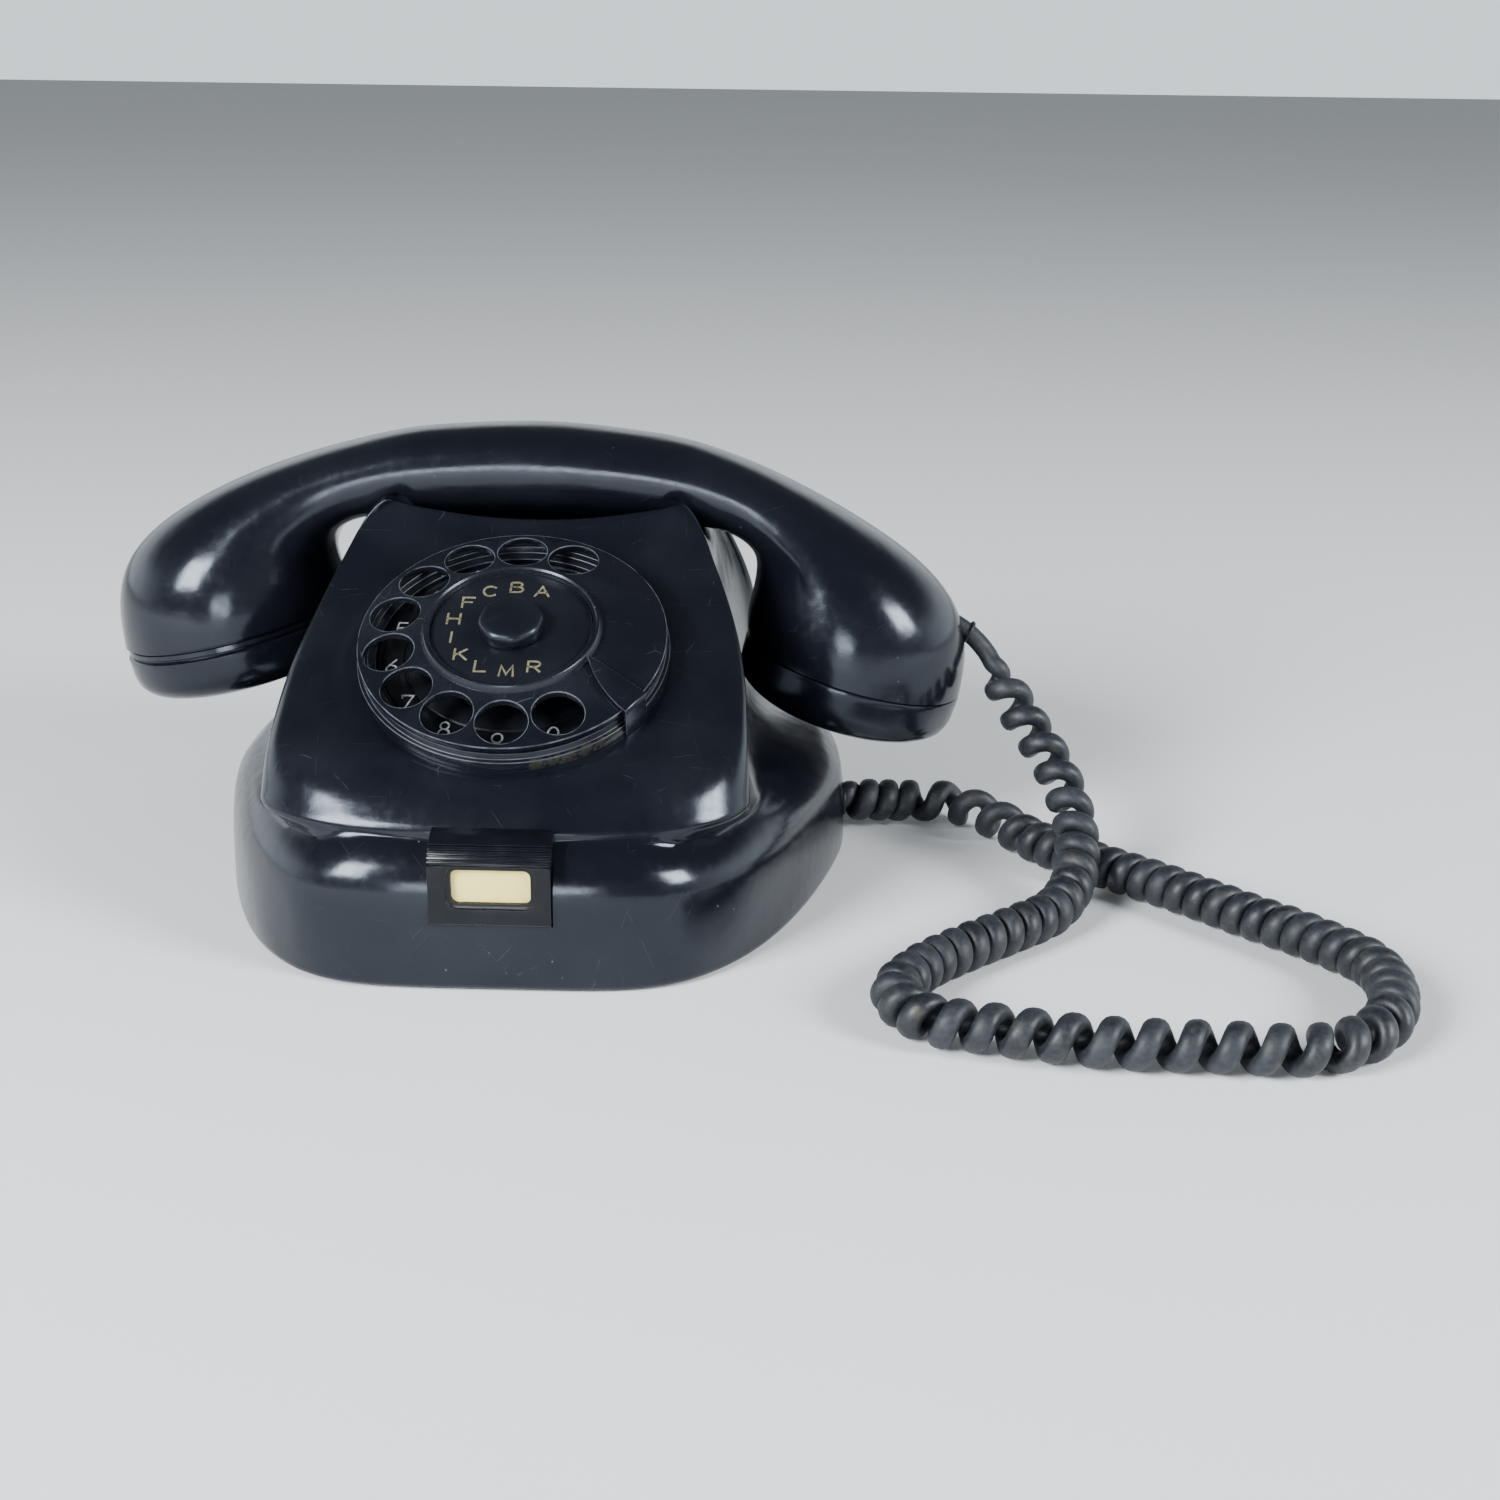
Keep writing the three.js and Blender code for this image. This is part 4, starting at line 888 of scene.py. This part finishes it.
def lettering(name, text, radius, first, size, stroke, low, high, material, body):
    points, faces, base = [], [], 0
    for k, glyph in enumerate(text):
        x, y = polar(radius, first + k * HOLE_STEP)
        for line in GLYPHS[glyph]:
            shape = [(x + (u - 0.5) * size[0], y + (v - 0.5) * size[1]) for u, v in line]
            some, sides = stroke_ribbon(shape, stroke, low, high)
            points.append(some)
            faces += [tuple(base + v for v in side) for side in sides]
            base += len(some)
    obj = piece(name, on_panel(np.concatenate(points)), faces, material, body)


lettering("dial_letters", "ABCFHIKLMR", 15.3, FIRST_HOLE, (3.5, 3.6), 0.66, 10.2, 10.36, LETTER_PAINT, "dial")
lettering("dial_digits", "1234567890", 31.0, FIRST_HOLE - 3.2, (3.1, 5.0), 0.55, 1.5, 1.68, DIGIT_PAINT, "telephone")

# ---------------------------------------------------------------- handset
# Upper outline x, z; lower outline x, z; half thickness. From the middle outwards.
MIDDLE = (0, 115.4, 0, 91.4, 15)
EAR_ARM = [(34, 113, 33, 90, 15.3), (55, 108, 49.5, 88.3, 16.4), (72, 102.5, 55.2, 86, 18.4),
           (88, 95.8, 58.4, 82.6, 21.4), (102, 88.2, 59.6, 78.6, 24.4), (112, 80.8, 59.4, 75.6, 27.4),
           (118.9, 72, 58, 71, 29.8), (121.3, 60.6, 57.2, 67, 31.1)]
MOUTH_ARM = [(34, 112.8, 33, 90, 15.3), (55, 107, 49.5, 88.3, 16.4), (72, 99.6, 55.2, 86, 18.4),
             (88, 91.2, 58.4, 82.6, 21.4), (102, 82.6, 59.6, 78.6, 24.4), (111.6, 74.4, 59.4, 73.6, 27.4),
             (118, 65, 58, 67.6, 29.8), (120.2, 54, 57.2, 62.4, 31.1)]


def seam(cup):
    """The station where a cup meets its cap."""
    along, fall = math.cos(CUP_TILT) * CUP_R, math.sin(CUP_TILT) * CUP_R
    x, z = abs(cup["x"]), cup["z"]
    return x + along, z - fall, x - along, z + fall, CUP_R


def handset_stations():
    def flip(station):
        return (-station[0], station[1], -station[2], station[3], station[4])
    ear = [flip(s) for s in (*EAR_ARM, seam(EAR))][::-1]
    stations = np.array([*ear, MIDDLE, *MOUTH_ARM, seam(MOUTH)], float)
    upper, lower = stations[:, :2], stations[:, 2:4]
    middle = (upper + lower) / 2
    gap = (np.linalg.norm(np.diff(upper, axis=0), axis=1) + np.linalg.norm(np.diff(lower, axis=0), axis=1)
           + np.linalg.norm(np.diff(middle, axis=0), axis=1)) / 3
    far = np.r_[0, np.cumsum(gap)]
    fine = np.linspace(0, far[-1], 190)
    return np.stack([curve(np.stack([far, column], 1), fine) for column in stations.T], 1)


def handset_grid():
    """Rounded sections along the handset, each between its upper and lower outline."""
    stations = handset_stations()
    angle = np.arange(80) * TAU / 80
    grid = []
    for ux, uz, lx, lz, half in stations:
        flat = 0.8 + 0.2 * ease(half, 17, 27)
        up, side = ((np.sign(v) * np.abs(v) ** flat) for v in (np.cos(angle), np.sin(angle)))
        up = (1 + up) / 2
        grid.append(np.stack([mix(lx, ux, up), HANDSET_Y + half * side, mix(lz, uz, up)], 1))
    return relax(np.array(grid), 0, 24)


def cap_profile(cup, grooved):
    """From the seam down the outside to the face, and back up inside; grooved has a band by the seam."""
    r, depth, face = CUP_R, cup["height"], cup["face"]
    if grooved:
        top = [(r - 0.9, -0.25), (r - 0.95, -0.7), (r - 0.6, -1.0), (r - 0.45, -2.2), (r - 0.9, -2.5),
               (r - 0.95, -2.9), (r - 0.3, -3.1), (r + 0.05, -3.4), (r + 0.1, -4.0)]
    else:
        top = [(r - 0.5, -0.25), (r - 0.05, -0.5), (r + 0.1, -1.1), (r + 0.1, -2.5)]
    side = curve([(0, 0), (0.35, 0.02), (0.62, 0.12), (0.82, 0.38), (0.93, 0.68), (1, 1)], np.linspace(0.1, 1, 16))
    start = top[-1][1]
    outer = [(mix(r + 0.1, face, s), mix(start, -depth + 0.25, u)) for s, u in zip(side, np.linspace(0.1, 1, 16))]
    return [(26, -0.25), *top, *outer, (face - 2, -depth - 0.05), (face - 6, -depth), (0, -depth), (0, -depth + 2.6),
            (face - 2, -depth + 2.8), (26, -depth + 8)]


def cap(name, cup, grooved, node):
    profile = cap_profile(cup, grooved)
    k = next(i for i, p in enumerate(profile) if p[0] == 0)
    points, faces = turned([*profile[k + 1:], *profile[:k + 1]], 128)
    obj = piece(name, on_cup(points, cup), faces, HANDSET_BAKELITE, None)
    spots = [(0, 0), *(polar(5, a) for a in range(0, 360, 60)), *(polar(10, a) for a in range(15, 375, 30))]
    holes = []
    for x, y in spots:
        some, sides = turned([(0, -cup["height"] - 3), (1.1, -cup["height"] - 3), (1.1, -cup["height"] + 4),
                              (0, -cup["height"] + 4)], 20)
        holes.append((on_cup(some + (x, y, 0), cup), sides))
    carve(obj, holes)
    finish(obj, HANDSET_BAKELITE, 40)
    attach(obj, "handset")
    stand_for((node,))


points, faces = tube_mesh(handset_grid())
piece("handset_body", on_handset(points), faces, HANDSET_BAKELITE, "handset", 45, ("handset_shell",))
cap("earpiece", EAR, True, "ear_cap")
cap("mouthpiece", MOUTH, False, "mouth_cap")

# ---------------------------------------------------------------- small turned pieces
for name, side in (("left", -1), ("right", 1)):
    top = 89.2 - side * 34 * math.sin(LEAN)
    points, faces = turned([(0, 74.5), (4.8, 74.5), (4.8, 75.6), (2.2, 75.6), (2.2, 78), (3.2, 78), (3.2, top - 1.2),
                            (2.9, top - 0.5), (2.2, top - 0.1), (0, top)], 48)
    piece(f"hook_button_{name}", points + (side * 34, CRADLE["y"], 0), faces, BAKELITE, "plungers", 40,
          (f"plunger_{name}",))
for name, x, y in (("front_left", -40, -60), ("front_right", 40, -60), ("rear_left", -48, 62),
                   ("rear_right", 48, 62)):
    points, faces = turned([(0, 0), (6.2, 0), (6.6, 0.15), (7, 0.7), (7, 1.7), (0, 1.7)], 48)
    piece(f"pad_{name}", points + (x, y, 0), faces, RUBBER, "telephone", 40, (f"foot_{name}",))
inlet = turned(rounded([(2.7, -7), (4.1, -7), (4.1, 4.3), (2.7, 4.3)], 0.4), 40)
piece("line_bush", rotate(inlet[0], "X", -math.pi / 2) + (-38, 79.5, 10), inlet[1], RUBBER, "telephone", 40,
      ("line_cord_inlet",))

# ---------------------------------------------------------------- floor and light
# Two large lights give the side highlights; the sky is dark overhead and bright near the horizon.
floor = piece("floor", [(-6000, -6000, 0), (6000, -6000, 0), (6000, 6000, 0), (-6000, 6000, 0)], [(0, 1, 2, 3)],
              floor_paint(), None)


def softbox(name, at, size, power):
    light = bpy.data.lights.new(name, "AREA")
    light.color = (0.93, 0.97, 1)
    light.shape, light.size, light.size_y, light.energy = "RECTANGLE", size[0], size[1], power
    obj = bpy.data.objects.new(name, light)
    obj.location = at
    obj.rotation_euler = (Vector((0.03, 0, 0.05)) - Vector(at)).to_track_quat("-Z", "Y").to_euler()
    obj.visible_camera = False
    bpy.context.scene.collection.objects.link(obj)


softbox("front_box", (-0.12, -1.05, 0.14), (0.3, 0.16), 2.4)
softbox("left_box", (-0.88, -0.95, 0.74), (0.56, 0.56), 42)
softbox("right_box", (1.38, -0.66, 0.76), (0.52, 0.52), 33)

world = bpy.data.worlds.new("studio")
bpy.context.scene.world = world
world.use_nodes = True
sky = world.node_tree
direction = sky.nodes.new("ShaderNodeTexCoord").outputs["Generated"]
split = sky.nodes.new("ShaderNodeSeparateXYZ")
sky.links.new(direction, split.inputs[0])


def sky_span(socket, low, high, to_low, to_high):
    node = sky.nodes.new("ShaderNodeMapRange")
    node.interpolation_type = "SMOOTHSTEP"
    sky.links.new(socket, node.inputs["Value"])
    for name, value in (("From Min", low), ("From Max", high), ("To Min", to_low), ("To Max", to_high)):
        node.inputs[name].default_value = value
    return node.outputs["Result"]


strength = sky.nodes.new("ShaderNodeMath")
strength.operation = "MULTIPLY_ADD"
sides = sky.nodes.new("ShaderNodeMath")
sides.operation = "MULTIPLY"
sky.links.new(sky_span(split.outputs["Y"], -0.5, 0.2, 0.12, 1), sides.inputs[0])
sky.links.new(sky_span(split.outputs["Y"], 0.45, 0.9, 1, 0.55), sides.inputs[1])
sky.links.new(sky_span(split.outputs["Z"], 0.2, 0.5, 2.0, 0), strength.inputs[0])
sky.links.new(sides.outputs[0], strength.inputs[1])
strength.inputs[2].default_value = 0.14
sky.links.new(strength.outputs[0], sky.nodes["Background"].inputs["Strength"])
sky.nodes["Background"].inputs["Color"].default_value = (0.86, 0.94, 1.0, 1)
